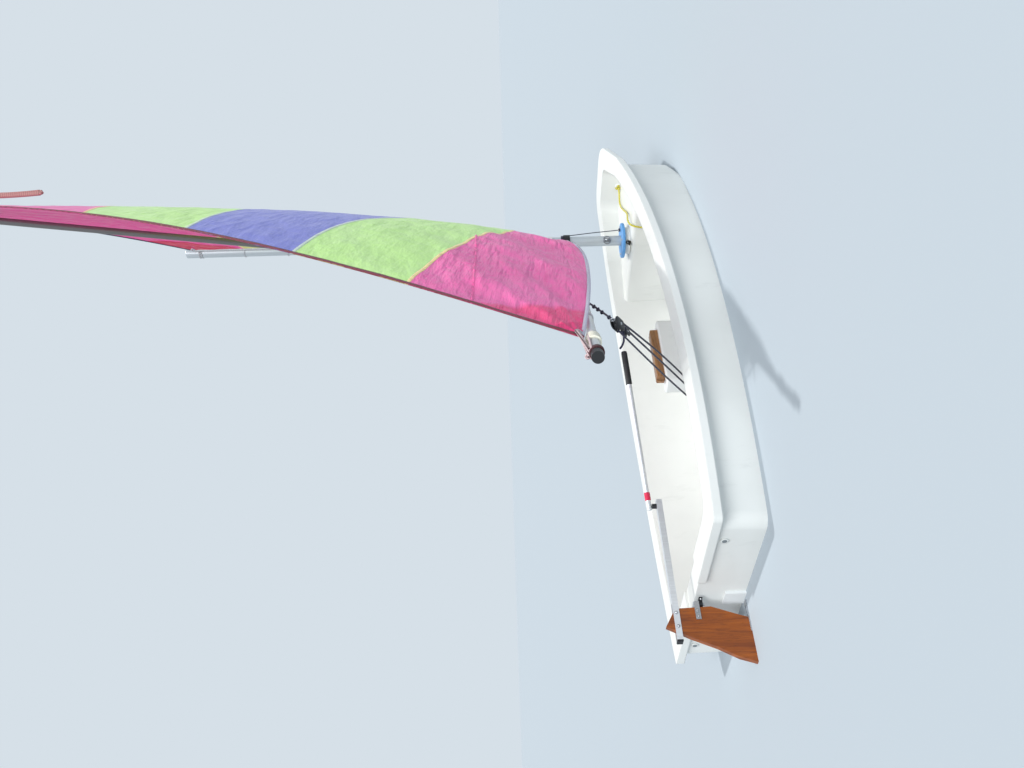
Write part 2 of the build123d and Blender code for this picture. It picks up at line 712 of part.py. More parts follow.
# Put-away coil on the floor: its turns lie in two layers, and the tube runs in at a tangent
coil_in = Vector(*painter_route[-1])
coil_run = (coil_in - Vector(*painter_route[-2])).normalized()
floor_slope = atan2(floor_z(coil_in.X + 60) - floor_z(coil_in.X - 60), 120)
floor_normal = Vector(-sin(floor_slope), 0, cos(floor_slope))
coil_centre = coil_in + floor_normal.cross(coil_run).normalized() * coil_mean_r
coil_base = Vector(coil_centre.X, coil_centre.Y, floor_z(coil_centre.X))
coil_base += floor_normal * coil_lift
coil_plane = Plane(coil_base, x_dir=(cos(floor_slope), 0, sin(floor_slope)), z_dir=floor_normal)
coil_half_width = coil_turns_wide * painter_r
with BuildPart() as painter_coil:
    with BuildSketch(coil_plane):
        Circle(coil_mean_r + coil_half_width)
        Circle(coil_mean_r - coil_half_width, mode=Mode.SUBTRACT)
    extrude(amount=4 * painter_r)
painter_coil.part.label = "painter_coil"
export_step(painter_coil.part, "parts/painter_coil.step")

painter_radii = corner_radii(painter_route)
with BuildPart() as painter:
    with BuildLine() as painter_path:
        FilletPolyline(*painter_route, radius=painter_radii)
    with BuildSketch(Plane(painter_route[0], z_dir=painter_path.line % 0)):
        RegularPolygon(painter_r, painter_sides)
    painter_section = painter.pending_faces[0].area
    sweep(transition=Transition.RIGHT)
    painter_volume = painter.part.volume
    add(painter_coil.part, mode=Mode.SUBTRACT)
painter.part.label = "painter"
export_step(painter.part, "parts/painter.step")

# Stopper knots: one holds the painter in the bow's inner face, one closes its free end
with BuildPart() as painter_bow_knot:
    with BuildSketch(Plane(painter_route[0], z_dir=-(painter_path.line % 0))):
        RegularPolygon(knot_r, 8)
    extrude(amount=knot_reach)
    add(hull.part, mode=Mode.SUBTRACT)
painter_bow_knot.part.label = "painter_bow_knot"
export_step(painter_bow_knot.part, "parts/painter_bow_knot.step")

knot_start = coil_plane.from_local_coords((0, -coil_mean_r, knot_r + coil_lift))
with BuildPart() as painter_knot:
    with BuildSketch(Plane(knot_start, x_dir=(0, 1, 0), z_dir=coil_plane.x_dir)):
        RegularPolygon(knot_r, 8, major_radius=False)
    extrude(amount=coil_mean_r + knot_length)
    add(painter_coil.part, mode=Mode.SUBTRACT)
    knot_core = painter_knot.solids().sort_by(Axis.X)[-1]
with BuildPart() as painter_knot:
    add(knot_core)
painter_knot.part.label = "painter_knot"
export_step(painter_knot.part, "parts/painter_knot.step")

painter_length = sum(edge.length for edge in painter_path.edges())
print("painter", round(painter_length), "radii", [round(r) for r in painter_radii])
print("painter volume ratio", painter_volume / (painter_length * painter_section))
print("coil turns", (painter_total - painter_length) / (2 * pi * coil_mean_r))
print("sprit length", round((sprit_top - sprit_heel).length))
print("head", round((peak - throat).length), "leech", round((peak - clew).length))
print("luff", round((throat - tack).length), "foot", round((clew - tack).length))
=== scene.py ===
"""Pram sailing dinghy with a spritsail rig: the looks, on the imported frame.

Metres. +X points to the bow, +Y to port, +Z up. The origin is on the
centreline amidships, at the water's surface.
"""

import bmesh
import bpy
from math import atan2, cos, pi, radians, sin, sqrt
from mathutils import Matrix, Vector, noise


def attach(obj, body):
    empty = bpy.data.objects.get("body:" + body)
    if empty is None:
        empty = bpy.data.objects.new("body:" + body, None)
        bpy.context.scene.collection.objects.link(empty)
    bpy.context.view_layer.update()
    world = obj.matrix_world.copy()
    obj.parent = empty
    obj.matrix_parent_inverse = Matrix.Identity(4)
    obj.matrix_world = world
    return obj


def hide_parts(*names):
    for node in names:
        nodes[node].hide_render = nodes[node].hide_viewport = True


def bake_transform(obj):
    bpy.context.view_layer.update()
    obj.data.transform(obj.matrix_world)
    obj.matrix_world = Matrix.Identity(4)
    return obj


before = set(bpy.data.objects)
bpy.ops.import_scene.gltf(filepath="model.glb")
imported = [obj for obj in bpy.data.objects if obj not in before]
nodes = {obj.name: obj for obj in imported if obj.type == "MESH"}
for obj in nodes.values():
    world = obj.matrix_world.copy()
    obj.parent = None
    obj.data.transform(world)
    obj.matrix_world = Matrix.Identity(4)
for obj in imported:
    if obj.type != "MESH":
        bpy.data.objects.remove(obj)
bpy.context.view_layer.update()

# Sizes repeated from the source, in metres
UP = Vector((0, 0, 1))
MAST, MAST_R = Vector((0.663, 0.0, 0.0)), 0.0225
BOOM_ANGLE, BOOM_RISE, BOOM_Z = radians(31.5), radians(1.6), 0.470
OUT = Vector((-cos(BOOM_ANGLE), -sin(BOOM_ANGLE), 0.0))
BOOM_PORT = UP.cross(OUT)
ALONG = (OUT * cos(BOOM_RISE) + Vector((0, 0, sin(BOOM_RISE)))).normalized()
BOOM_ROOT = Vector((MAST.x, 0.0, BOOM_Z))

JAW_GAP, TIE_WIRE, SEAT = 0.0004, 0.005, 0.0003
LUFF_OUT = (MAST_R + JAW_GAP + TIE_WIRE) / cos(pi / 12) + SEAT
CLEW_OUT, CLEW_Z = 1.694, 0.544
TACK_Z, THROAT_Z = 0.530, 2.135
PEAK = Vector((0.181, -0.696, 3.103))
HEAD_FLAT = Vector((PEAK.x - MAST.x, PEAK.y, 0.0)).normalized()
TACK = Vector((MAST.x, 0.0, TACK_Z)) + OUT * LUFF_OUT
THROAT = Vector((MAST.x, 0.0, THROAT_Z)) + HEAD_FLAT * LUFF_OUT
CLEW = Vector((MAST.x, 0.0, CLEW_Z)) + OUT * CLEW_OUT
LUFF_LENGTH, LEECH_LENGTH = 1.605, 2.741

# Sections of the sail, from the foot up: share of the height, camber as a share of
# the chord, the leech's fall to leeward and its hollow
ROW_SHARES = (0.0, 0.33, 0.67, 1.0)
ROW_CAMBER = (0.069, 0.088, 0.065, 0.017)
ROW_FALL = (0.0, 0.097, 0.100, 0.0)
ROW_HOLLOW = (0.0, -0.008, 0.040, 0.0)
DRAFT = 0.454
FOOT_DROOP = radians(39.0)
CLOTH, CLOTH_LEE = 0.0012, 0.002


# ---- materials

def shaded(rgb, share):
    """A colour made darker or lighter by a share."""
    return tuple(min(255, int(c * share)) for c in rgb)


def shifted(rgb, by):
    """A colour with a step added to each part."""
    return tuple(min(255, max(0, c + by)) for c in rgb)


def linear(rgb):
    """An sRGB colour, 0 to 255, as linear values."""
    out = []
    for c in rgb:
        c /= 255.0
        out.append(c / 12.92 if c <= 0.04045 else ((c + 0.055) / 1.055) ** 2.4)
    return (*out, 1.0)


class Surface:
    """A material that is built up from procedural nodes."""

    def __init__(self, name, rgb, roughness=0.5, **inputs):
        self.material = bpy.data.materials.new(name)
        self.material.use_nodes = True
        self.material.diffuse_color = linear(rgb)
        self.tree = self.material.node_tree
        self.shader = self.tree.nodes["Principled BSDF"]
        self.colour = self.tree.nodes.new("ShaderNodeRGB").outputs[0]
        self.colour.default_value = linear(rgb)
        self.height = None
        self.shader.inputs["Base Color"].default_value = linear(rgb)
        self.shader.inputs["Roughness"].default_value = roughness
        for key, value in inputs.items():
            self.shader.inputs[key.replace("_", " ")].default_value = value

    def node(self, kind, values=(), **settings):
        """A node with its settings, and values as pairs of input and value."""
        made = self.tree.nodes.new(kind)
        for key, value in settings.items():
            setattr(made, key, value)
        for key, value in values:
            made.inputs[key].default_value = value
        return made

    def link(self, a, b):
        self.tree.links.new(a, b)

    def coordinates(self, kind="Object", scale=(1, 1, 1), turn=(0, 0, 0)):
        """Texture coordinates, scaled and turned."""
        source = self.node("ShaderNodeTexCoord")
        mapping = self.node("ShaderNodeMapping", (("Scale", scale), ("Rotation", turn)))
        self.link(source.outputs[kind], mapping.inputs["Vector"])
        return mapping.outputs["Vector"]

    def noise(self, vector, scale, detail=4.0, rough=0.5, distortion=0.0):
        made = self.node("ShaderNodeTexNoise", (("Scale", scale), ("Detail", detail),
                                                ("Roughness", rough), ("Distortion", distortion)))
        self.link(vector, made.inputs["Vector"])
        return made.outputs["Fac"]

    def wave(self, vector, scale, direction="X"):
        """Even bands along a direction."""
        made = self.node("ShaderNodeTexWave", (("Scale", scale), ("Distortion", 0.0)),
                         wave_type="BANDS", wave_profile="SIN", bands_direction=direction)
        self.link(vector, made.inputs["Vector"])
        return made.outputs["Fac"]

    def spread(self, factor, low, high, to_low=0.0, to_high=1.0):
        """A factor mapped from one range to another."""
        made = self.node("ShaderNodeMapRange", (("From Min", low), ("From Max", high),
                                                ("To Min", to_low), ("To Max", to_high)))
        self.link(factor, made.inputs["Value"])
        return made.outputs["Result"]

    def math(self, operation, a, b):
        made = self.node("ShaderNodeMath", operation=operation)
        for index, value in enumerate((a, b)):
            if isinstance(value, (int, float)):
                made.inputs[index].default_value = value
            else:
                self.link(value, made.inputs[index])
        return made.outputs[0]

    def tint(self, factor, rgb, low, high):
        """Mix a second colour in where the factor is high."""
        mix = self.node("ShaderNodeMix", (("B", linear(rgb)),), data_type="RGBA")
        self.link(self.spread(factor, low, high), mix.inputs["Factor"])
        self.link(self.colour, mix.inputs["A"])
        self.colour = mix.outputs["Result"]
        self.link(self.colour, self.shader.inputs["Base Color"])

    def rough(self, factor, low, high):
        self.link(self.spread(factor, 0.3, 0.7, low, high), self.shader.inputs["Roughness"])

    def bump(self, factor, strength, distance):
        """Add relief from a factor over any relief that is there."""
        made = self.node("ShaderNodeBump", (("Strength", strength), ("Distance", distance)))
        self.link(factor, made.inputs["Height"])
        if self.height is not None:
            self.link(self.height, made.inputs["Normal"])
        self.height = made.outputs["Normal"]
        self.link(self.height, self.shader.inputs["Normal"])


def moulded_plastic(name, rgb, rough=(0.28, 0.42), speckle=None, scuff=None, edge=0.0):
    """Moulded plastic: faint mottling, fine orange peel, rubbed marks and soft edges."""
    made = Surface(name, rgb, sum(rough) / 2, Specular_IOR_Level=0.45)
    if edge:
        soft = made.node("ShaderNodeBevel", (("Radius", edge),), samples=6)
        made.height = soft.outputs["Normal"]
    place = made.coordinates()
    broad = made.noise(place, 3.5, 3.0)
    fine = made.noise(place, 260.0, 2.0)
    grime = made.noise(made.coordinates(scale=(1, 1, 0.35)), 14.0, 6.0, 0.65)
    made.tint(broad, speckle or shifted(rgb, -7), 0.4, 0.75)
    made.tint(grime, scuff or shifted(rgb, -16), 0.6, 0.85)
    made.rough(grime, *rough)
    made.bump(fine, 0.06, 0.0006)
    made.bump(broad, 0.25, 0.0012)
    return made.material


def metal(name, rgb, rough):
    """Drawn metal, its fine lines upright."""
    made = Surface(name, rgb, sum(rough) / 2, Metallic=0.85)
    lines = made.noise(made.coordinates(scale=(90, 90, 2)), 6.0, 4.0, 0.6)
    cloud = made.noise(made.coordinates(), 9.0, 3.0)
    made.tint(lines, shaded(rgb, 0.86), 0.35, 0.8)
    made.tint(cloud, shaded(rgb, 1.06), 0.5, 0.8)
    made.rough(lines, *rough)
    made.bump(lines, 0.12, 0.0003)
    return made.material


def anodised(name, rgb, direction):
    """Satin anodised tube: brighter than bare metal, its draw lines along a direction."""
    made = Surface(name, rgb, 0.34, Metallic=0.55)
    turn = direction.normalized().to_track_quat("Z", "Y").inverted().to_euler()
    lines = made.noise(made.coordinates(scale=(160, 160, 2), turn=turn), 1.0, 3.0, 0.6)
    cloud = made.noise(made.coordinates(), 7.0, 4.0, 0.6)
    made.tint(lines, shaded(rgb, 0.93), 0.3, 0.8)
    made.tint(cloud, shaded(rgb, 0.94), 0.5, 0.8)
    made.rough(cloud, 0.28, 0.42)
    made.bump(lines, 0.05, 0.0003)
    return made.material


def varnished(name, rgb, dark, along, gloss):
    """Varnished wood: long grain, pores and a clear coat."""
    made = Surface(name, rgb, 0.42, Coat_Weight=gloss, Coat_Roughness=0.12)
    stretch = {"X": (1.0, 14, 14), "Z": (14, 14, 1.0)}[along]
    place = made.coordinates(scale=stretch)
    growth = made.noise(place, 1.6, 6.0, 0.62, 1.4)
    pores = made.noise(made.coordinates(scale=tuple(c * 12 for c in stretch)), 2.2, 2.0, 0.7)
    cloud = made.noise(made.coordinates(), 5.0, 3.0)
    made.tint(growth, dark, 0.42, 0.62)
    made.tint(pores, shaded(dark, 0.6), 0.56, 0.8)
    made.tint(cloud, shaded(rgb, 1.25), 0.52, 0.85)
    made.rough(growth, 0.34, 0.5)
    made.bump(pores, 0.12, 0.0005)
    made.bump(cloud, 0.12, 0.002)
    return made.material


def braided(name, rgb, fleck, pitch=0.012):
    """Braided rope on a tube whose UVs are round and along it, in metres."""
    made = Surface(name, rgb, 0.78, Sheen_Weight=0.25)
    one, other = (made.wave(made.coordinates("UV", turn=(0, 0, radians(lay))), 0.5 / pitch)
                  for lay in (28, -28))
    weave = made.math("MULTIPLY", one, other)
    fuzz = made.noise(made.coordinates("UV"), 900.0, 2.0)
    # Painted shade: the colour darkens where the weave's relief is low, in the grooves between the
    # strands
    made.tint(weave, shaded(rgb, 0.72), 0.45, 0.0)
    made.tint(fuzz, fleck, 0.6, 0.75)
    made.bump(weave, 0.6, 0.0015)
    made.bump(fuzz, 0.3, 0.0004)
    return made.material


def sailcloth(name, rgb, thread, clew=None, relief=0.4):
    """Light sailcloth: weave, creases and a soft sheen; clew is that corner's deeper colour."""
    made = Surface(name, rgb, 0.5, Sheen_Weight=0.10, Specular_IOR_Level=0.25,
                   Subsurface_Weight=0.45, Subsurface_Scale=0.010,
                   Subsurface_Radius=(1.0, 1.0, 1.0))
    flat = made.coordinates("UV")
    weave = made.math("ADD", made.wave(flat, 90.0, "X"), made.wave(flat, 90.0, "Y"))
    crease = made.noise(made.coordinates("UV", (9, 26, 1), (0, 0, radians(-38))), 1.0, 3.0)
    crinkle = made.noise(made.coordinates("UV", (30, 22, 1), (0, 0, radians(31))), 1.0, 4.0, 0.55)
    cloud = made.noise(flat, 4.0, 4.0)
    made.tint(cloud, thread, 0.5, 0.9)
    if clew:
        split = made.node("ShaderNodeSeparateXYZ")
        made.link(flat, split.inputs[0])
        rise = made.math("MULTIPLY", split.outputs["Y"], 0.56)
        made.tint(made.math("SUBTRACT", split.outputs["X"], rise), clew, 1.28, 1.30)
        pull = made.noise(made.coordinates("UV", (5, 30, 1), (0, 0, radians(24))), 1.0, 3.0)
        made.bump(pull, 1.0, 0.022)
    made.rough(crinkle, 0.42, 0.6)
    made.bump(weave, 0.05, 0.0003)
    made.bump(crinkle, 0.9, 0.006 * relief)
    made.bump(crease, 1.0, 0.024 * relief)
    return made.material


def webbing(name, rgb, rib=180.0):
    """Woven tape with ribs across it, on UVs in metres."""
    made = Surface(name, rgb, 0.72, Sheen_Weight=0.2)
    ribs = made.wave(made.coordinates("UV"), rib, "Y")
    fuzz = made.noise(made.coordinates("UV"), 300.0, 3.0)
    # Painted shade: the colour darkens where the ribs' relief is low, in the hollows between them
    made.tint(ribs, shaded(rgb, 0.8), 0.6, 0.1)
    made.tint(fuzz, shifted(rgb, 18), 0.55, 0.8)
    made.bump(ribs, 0.5, 0.0008)
    made.bump(fuzz, 0.2, 0.0004)
    return made.material


WHITE = moulded_plastic("hull_plastic", (230, 232, 229), edge=0.006)
CASE = moulded_plastic("case_plastic", (232, 235, 235), edge=0.002)
BLACK = moulded_plastic("black_nylon", (26, 27, 30), (0.38, 0.55), (34, 35, 38), (52, 53, 55))
DULL_GREY = moulded_plastic("dull_grey_nylon", (122, 130, 134), (0.4, 0.6))
BLUE = moulded_plastic("blue_plastic", (96, 158, 218), (0.35, 0.5))
STEEL = metal("stainless_steel", (190, 192, 196), (0.22, 0.38))
MAST_TUBE = anodised("mast_tube", (204, 210, 214), UP)
BOOM_TUBE = anodised("boom_tube", (200, 204, 208), ALONG)
# The sprit is the mast's anodised tube made dark grey: painted shade
SHADED_SPRIT_TUBE = anodised("sprit_tube_painted_shade", (124, 121, 120), PEAK - Vector((MAST.x, 0, 1.19)))
TILLER_TUBE = anodised("tiller_tube", (224, 227, 231), Vector((1, 0, 0)))
RUDDER_WOOD = varnished("rudder_wood", (156, 80, 10), (112, 50, 4), "Z", 0.12)
BOARD_WOOD = varnished("board_wood", (158, 112, 68), (122, 82, 46), "X", 0.3)
BOARD_PLATE = varnished("board_plate", (158, 112, 68), (122, 82, 46), "Z", 0.3)
YELLOW_ROPE = braided("yellow_rope", (232, 220, 70), (250, 245, 150))
NAVY_ROPE = braided("navy_rope", (34, 36, 66), (90, 92, 130))
PINK_ROPE = braided("pink_rope", (232, 205, 208), (150, 44, 60), 0.010)
MAROON_ROPE = braided("maroon_rope", (78, 24, 34), (130, 70, 80), 0.006)
GREY_ALLOY = metal("grey_alloy", (150, 153, 158), (0.32, 0.46))
WHITE_LINE = braided("white_line", (232, 233, 236), (200, 202, 210), 0.005)
CREAM_TAPE = webbing("cream_tape", (250, 246, 226))
WHITE_TAPE = webbing("white_tape", (236, 234, 238))
FOOT_TAPE = webbing("foot_tape", (222, 216, 236))
LUFF_TAPE = webbing("luff_tape", (238, 238, 240))
LEECH_TAPE = webbing("leech_tape", (130, 40, 60))
# Dark navy along the head: painted shade of the head's hem
SHADED_HEAD_TAPE = webbing("head_tape_painted_shade", (44, 38, 80))
NAVY_WEB = webbing("navy_webbing", (36, 40, 70))
PINK = sailcloth("pink_cloth", (255, 102, 166), (255, 120, 180))
LOW_PINK = sailcloth("low_pink_cloth", (255, 102, 166), (255, 120, 180), (242, 66, 124), 1.0)
# The back of the sail gets a deeper copy of the pink and an olive copy of the lime: painted shade
# on that side
SHADED_BACK_PINK = sailcloth("back_pink_cloth_painted_shade", (246, 64, 142), (250, 84, 156))
SHADED_BACK_LIME = sailcloth("back_lime_cloth_painted_shade", (222, 214, 120), (232, 226, 140))
LIME = sailcloth("lime_cloth", (192, 250, 140), (204, 254, 160))
PURPLE = sailcloth("purple_cloth", (122, 126, 206), (138, 142, 216))
RED = sailcloth("red_cloth", (208, 48, 84), (220, 70, 104))
RIBBON = webbing("ribbon_cloth", (188, 138, 132), 40.0)


# Finishes of the CAD nodes that show
for material, names in (
        (WHITE, "hull_moulding transom_plugs"), (CASE, "daggerboard_case transom_pad"),
        (BLACK, "gudgeons boom_jaw boom_end_cap tiller_cap extension_swivel"),
        (STEEL, "bow_eye rudder_straps"), (MAST_TUBE, "mast"), (BLUE, "mast_collar"),
        (GREY_ALLOY, "mast_cleat"), (BOOM_TUBE, "boom"), (WHITE_TAPE, "boom_bands"),
        (SHADED_SPRIT_TUBE, "sprit"), (RUDDER_WOOD, "rudder_blade"),
        (TILLER_TUBE, "tiller tiller_extension"), (BOARD_PLATE, "daggerboard"),
        (BOARD_WOOD, "daggerboard_cheeks"), (NAVY_WEB, "toe_strap_port toe_strap_starboard")):
    for name in names.split():
        nodes[name].data.materials.clear()
        nodes[name].data.materials.append(material)


# ---- meshes

def new_object(name, mesh):
    made = bpy.data.objects.new(name, mesh)
    bpy.context.scene.collection.objects.link(made)
    return made


def grid_object(name, rows, uvs, materials, face_material=None, closed=False):
    """Object from rows of points, with UVs in metres. closed joins each row's ends."""
    wide = len(rows[0])
    verts = [p for row in rows for p in row]
    faces, marks, loops = [], [], []
    for j in range(len(rows) - 1):
        for i in range(wide if closed else wide - 1):
            k = (i + 1) % wide
            faces.append((j * wide + i, j * wide + k, (j + 1) * wide + k, (j + 1) * wide + i))
            marks.append(face_material(i, j) if face_material else 0)
            loops += [uvs[j][i], uvs[j][i + 1], uvs[j + 1][i + 1], uvs[j + 1][i]]
    mesh = bpy.data.meshes.new(name)
    mesh.from_pydata(verts, [], faces)
    layer = mesh.uv_layers.new(name="UVMap")
    for loop, uv in zip(layer.data, loops):
        loop.uv = uv
    for material in materials:
        mesh.materials.append(material)
    mesh.polygons.foreach_set("material_index", marks)
    mesh.shade_smooth()
    return new_object(name, mesh)


def nurbs_points(points, resolution=8):
    """Points along the smooth NURBS line that a route's points steer."""
    curve = bpy.data.curves.new("route", "CURVE")
    curve.dimensions = "3D"
    spline = curve.splines.new("NURBS")
    spline.points.add(len(points) - 1)
    for point, co in zip(spline.points, points):
        point.co = (*co, 1.0)
    spline.order_u = 3
    spline.use_endpoint_u = True
    spline.resolution_u = resolution
    holder = bpy.data.objects.new("route", curve)
    line = bpy.data.meshes.new_from_object(holder)
    out = [v.co.copy() for v in line.vertices]
    bpy.data.objects.remove(holder)
    bpy.data.curves.remove(curve)
    bpy.data.meshes.remove(line)
    return out


def square_axes(axis):
    """A unit axis and two more square to it."""
    axis = Vector(axis).normalized()
    side = axis.orthogonal().normalized()
    return axis, side, axis.cross(side)


def circle(centre, side, other, radius, count):
    """Points round a centre, in the plane of two unit directions."""
    return [centre + side * cos(2 * pi * k / count) * radius
            + other * sin(2 * pi * k / count) * radius for k in range(count)]


def circle_uvs(radius, along, count):
    """UVs of such a circle in metres: the way round it and the way along."""
    return [(k / count * 2 * pi * radius, along) for k in range(count + 1)]


def close_ends(made):
    """Fill a mesh's open ends and turn its faces outward."""
    bm = bmesh.new()
    bm.from_mesh(made.data)
    bmesh.ops.holes_fill(bm, edges=[e for e in bm.edges if e.is_boundary], sides=0)
    bmesh.ops.recalc_face_normals(bm, faces=bm.faces)
    bm.to_mesh(made.data)
    bm.free()


def tube(name, points, radius, material, sides=8, ends=True):
    """Rope or tube along points, its section carried along without twist."""
    points = [Vector(p) for p in points]
    rows, uvs, run = [], [], 0.0
    tangent = (points[1] - points[0]).normalized()
    side = tangent.cross(UP)
    if side.length < 0.05:
        side = tangent.cross(Vector((1, 0, 0)))
    side.normalize()
    for index, point in enumerate(points):
        ahead = points[min(index + 1, len(points) - 1)] - points[max(index - 1, 0)]
        ahead.normalize()
        side = (side - ahead * side.dot(ahead)).normalized()
        if index:
            run += (point - points[index - 1]).length
        rows.append(circle(point, side, ahead.cross(side), radius, sides))
        uvs.append(circle_uvs(radius, run, sides))
    made = grid_object(name, rows, uvs, [material], closed=True)
    if ends:
        close_ends(made)
    return made


def soft_line(name, points, radius, material, sides=8):
    """Piece of line that bends smoothly past its points."""
    return tube(name, nurbs_points(points), radius, material, sides)


def loop(name, centre, wide, deep, wire, material, turns):
    """Closed loop of line on an ellipse's two half axes."""
    turn = [2 * pi * k / turns for k in range(turns + 1)]
    return tube(name, [centre + wide * cos(a) + deep * sin(a) for a in turn], wire, material,
                ends=False)


def ring(name, centre, axis, radius, wire, material, turns=32, tilt=0.0):
    """Closed round loop of line about an axis."""
    axis, side, other = square_axes(axis)
    return loop(name, Vector(centre), side * radius, other * radius + axis * tilt, wire,
                material, turns)


def lathe(name, centre, axis, profile, material, sides=28, solid=True):
    """Body turned about an axis from (distance along it, radius) pairs."""
    axis, side, other = square_axes(axis)
    rows = [circle(Vector(centre) + axis * along, side, other, r, sides) for along, r in profile]
    uvs = [circle_uvs(r, along, sides) for along, r in profile]
    made = grid_object(name, rows, uvs, [material], closed=True)
    if solid:
        close_ends(made)
        made.data.set_sharp_from_angle(angle=radians(35))
    return made


def knot(name, centre, axis, size, wire, material):
    """Rope knot: a trefoil pulled tight about an axis."""
    axis, side, other = square_axes(axis)
    steps = 72
    points = []
    for k in range(steps + 1):
        t = 2 * pi * k / steps
        points.append(Vector(centre)
                      + side * (sin(t) + 2 * sin(2 * t)) * size / 3
                      + other * (cos(t) - 2 * cos(2 * t)) * size / 3
                      - axis * sin(3 * t) * wire * 1.05)
    return tube(name, points, wire, material, ends=False)


def pieces(body, slot_name, *objects):
    """Put pieces on a body. slot_name is not used."""
    for made in objects:
        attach(made, body)


# ---- camera

CAMERA_AT = Vector((-2.715, -2.924, 0.784))
YAW, PITCH, ROLL = radians(49.02), radians(-0.62), radians(-1.78)
ahead = Vector((cos(YAW) * cos(PITCH), sin(YAW) * cos(PITCH), sin(PITCH)))
level_right = Vector((sin(YAW), -cos(YAW), 0.0))
level_up = level_right.cross(ahead)
right = level_right * cos(ROLL) + level_up * sin(ROLL)
above = -level_right * sin(ROLL) + level_up * cos(ROLL)
# The photograph lies on its side: the picture's right is down, and its top is right
lens = bpy.data.cameras.new("camera")
lens.lens, lens.sensor_width, lens.sensor_fit = 34.453, 36.0, "HORIZONTAL"
lens.clip_end = 200.0
camera = new_object("camera", lens)
turned = Matrix((-above, right, -ahead)).transposed().to_4x4()
camera.matrix_world = Matrix.Translation(CAMERA_AT) @ turned
bpy.context.scene.camera = camera


# ---- cords

# Bottom on the centreline at three stations, stern to bow: (x, z)
ROCKER = ((-1.150, -0.095), (-0.150, -0.145), (1.000, 0.075))
FLOOR_THICKNESS = 0.034
ROPE_R = 0.004
ROPE_GAP = 0.0008


def floor_z(x):
    """Height of the cockpit's floor, from a parabola through the bottom's stations."""
    (x0, z0), (x1, z1), (x2, z2) = ROCKER
    first = (z1 - z0) / (x1 - x0)
    second = ((z2 - z1) / (x2 - x1) - first) / (x2 - x0)
    return z0 + first * (x - x0) + second * (x - x0) * (x - x1) + FLOOR_THICKNESS


def on_floor(x, y):
    return (x, y, floor_z(x) + ROPE_R + ROPE_GAP)


# From the bow's bush over the deck, down its bulkhead and along the floor
painter_route = [
    (1.023, -0.015, 0.199), (1.005, -0.005, 0.197), (0.983, 0.013, 0.198),
    (0.952, 0.021, 0.198), (0.912, 0.010, 0.198), (0.863, -0.018, 0.198),
    (0.811, -0.051, 0.198), (0.757, -0.087, 0.198), (0.702, -0.116, 0.199),
    (0.648, -0.134, 0.207), (0.598, -0.143, 0.203), (0.579, -0.143, 0.158),
    (0.583, -0.139, 0.096), (0.582, -0.131, 0.038), (0.556, -0.114, 0.004),
    on_floor(0.506, -0.094), on_floor(0.452, -0.086), on_floor(0.404, -0.106)]
coil_in = Vector(on_floor(0.365, -0.138))
coil_run = (coil_in - Vector(painter_route[-1])).normalized()
SLOPE_REACH = 0.06
COIL_LANES = (0.056, 0.048, 0.040, 0.032, 0.032, 0.040, 0.048, 0.056)
slope = atan2(floor_z(coil_in.x + SLOPE_REACH) - floor_z(coil_in.x - SLOPE_REACH),
              2 * SLOPE_REACH)
floor_up = Vector((-sin(slope), 0, cos(slope)))
floor_fore = Vector((cos(slope), 0, sin(slope)))
floor_port = Vector((0, 1, 0))
coil_centre = coil_in + floor_up.cross(coil_run).normalized() * 0.044
coil_base = Vector((coil_centre.x, coil_centre.y, floor_z(coil_centre.x))) + floor_up * 0.001
coil_arm = coil_in - coil_centre
start_angle = atan2(coil_arm.dot(floor_port), coil_arm.dot(floor_fore))
coil_turns = 7 + ((-pi / 2 - start_angle) / (2 * pi)) % 1


def at_coil(fore, port, high):
    """Point by its metres from the coil's middle, on the floor's slope."""
    return coil_base + floor_fore * fore + floor_port * port + floor_up * high


def coil_point(turn):
    """Point of the put-away coil after a number of turns: four lanes on the floor, four on top."""
    lane, part = int(turn), turn - int(turn)
    ease = min(part / 0.3, 1.0)
    before = COIL_LANES[max(lane - 1, 0)]
    r = before + (COIL_LANES[lane] - before) * ease
    climb = 0.0 if lane < 4 else (ease if lane == 4 else 1.0)
    angle = start_angle + 2 * pi * turn
    return at_coil(cos(angle) * r, sin(angle) * r, ROPE_R + 2 * ROPE_R * climb)


coil_steps = int(coil_turns * 14)
painter_points = nurbs_points(
    painter_route + [coil_point(coil_turns * k / coil_steps) for k in range(1, coil_steps + 1)]
    + [at_coil(0.030, -0.050, 0.012), at_coil(0.052, -0.046, 0.011)], 5)
painter = tube("painter_rope", painter_points, ROPE_R, YELLOW_ROPE, 10)
bow_knot = knot("bow_knot", Vector(painter_route[0]) + Vector((0.006, 0, 0.001)),
                (1, 0, 0), 0.012, ROPE_R, YELLOW_ROPE)
bow_bush = lathe("painter_bush", (1.0305, -0.0185, 0.2005), (-1, 0, 0),
                 [(-0.004, 0.0150), (0.0015, 0.0150), (0.0030, 0.0130), (0.0030, 0.0062),
                  (-0.004, 0.0062)], CASE)
pieces("hull", "case", bow_bush)
end_knot = knot("end_knot", at_coil(0.060, -0.044, 0.0115), floor_fore, 0.012, ROPE_R, YELLOW_ROPE)
pieces("hull", "painter_rope", painter, bow_knot, end_knot)
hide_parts("painter", "painter_coil")
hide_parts("painter_bow_knot")
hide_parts("painter_knot")


# ---- sail

def through_rows(share, values):
    """Cubic through the four rows' values."""
    total = 0.0
    for i, value in enumerate(values):
        term = value
        for j, other in enumerate(ROW_SHARES):
            if i != j:
                term *= (share - other) / (ROW_SHARES[i] - other)
        total += term
    return total


def leeward(chord):
    """Level direction to leeward of a chord: the boom is out to starboard."""
    side = chord.cross(UP).normalized()
    return side if side.y < 0 else -side


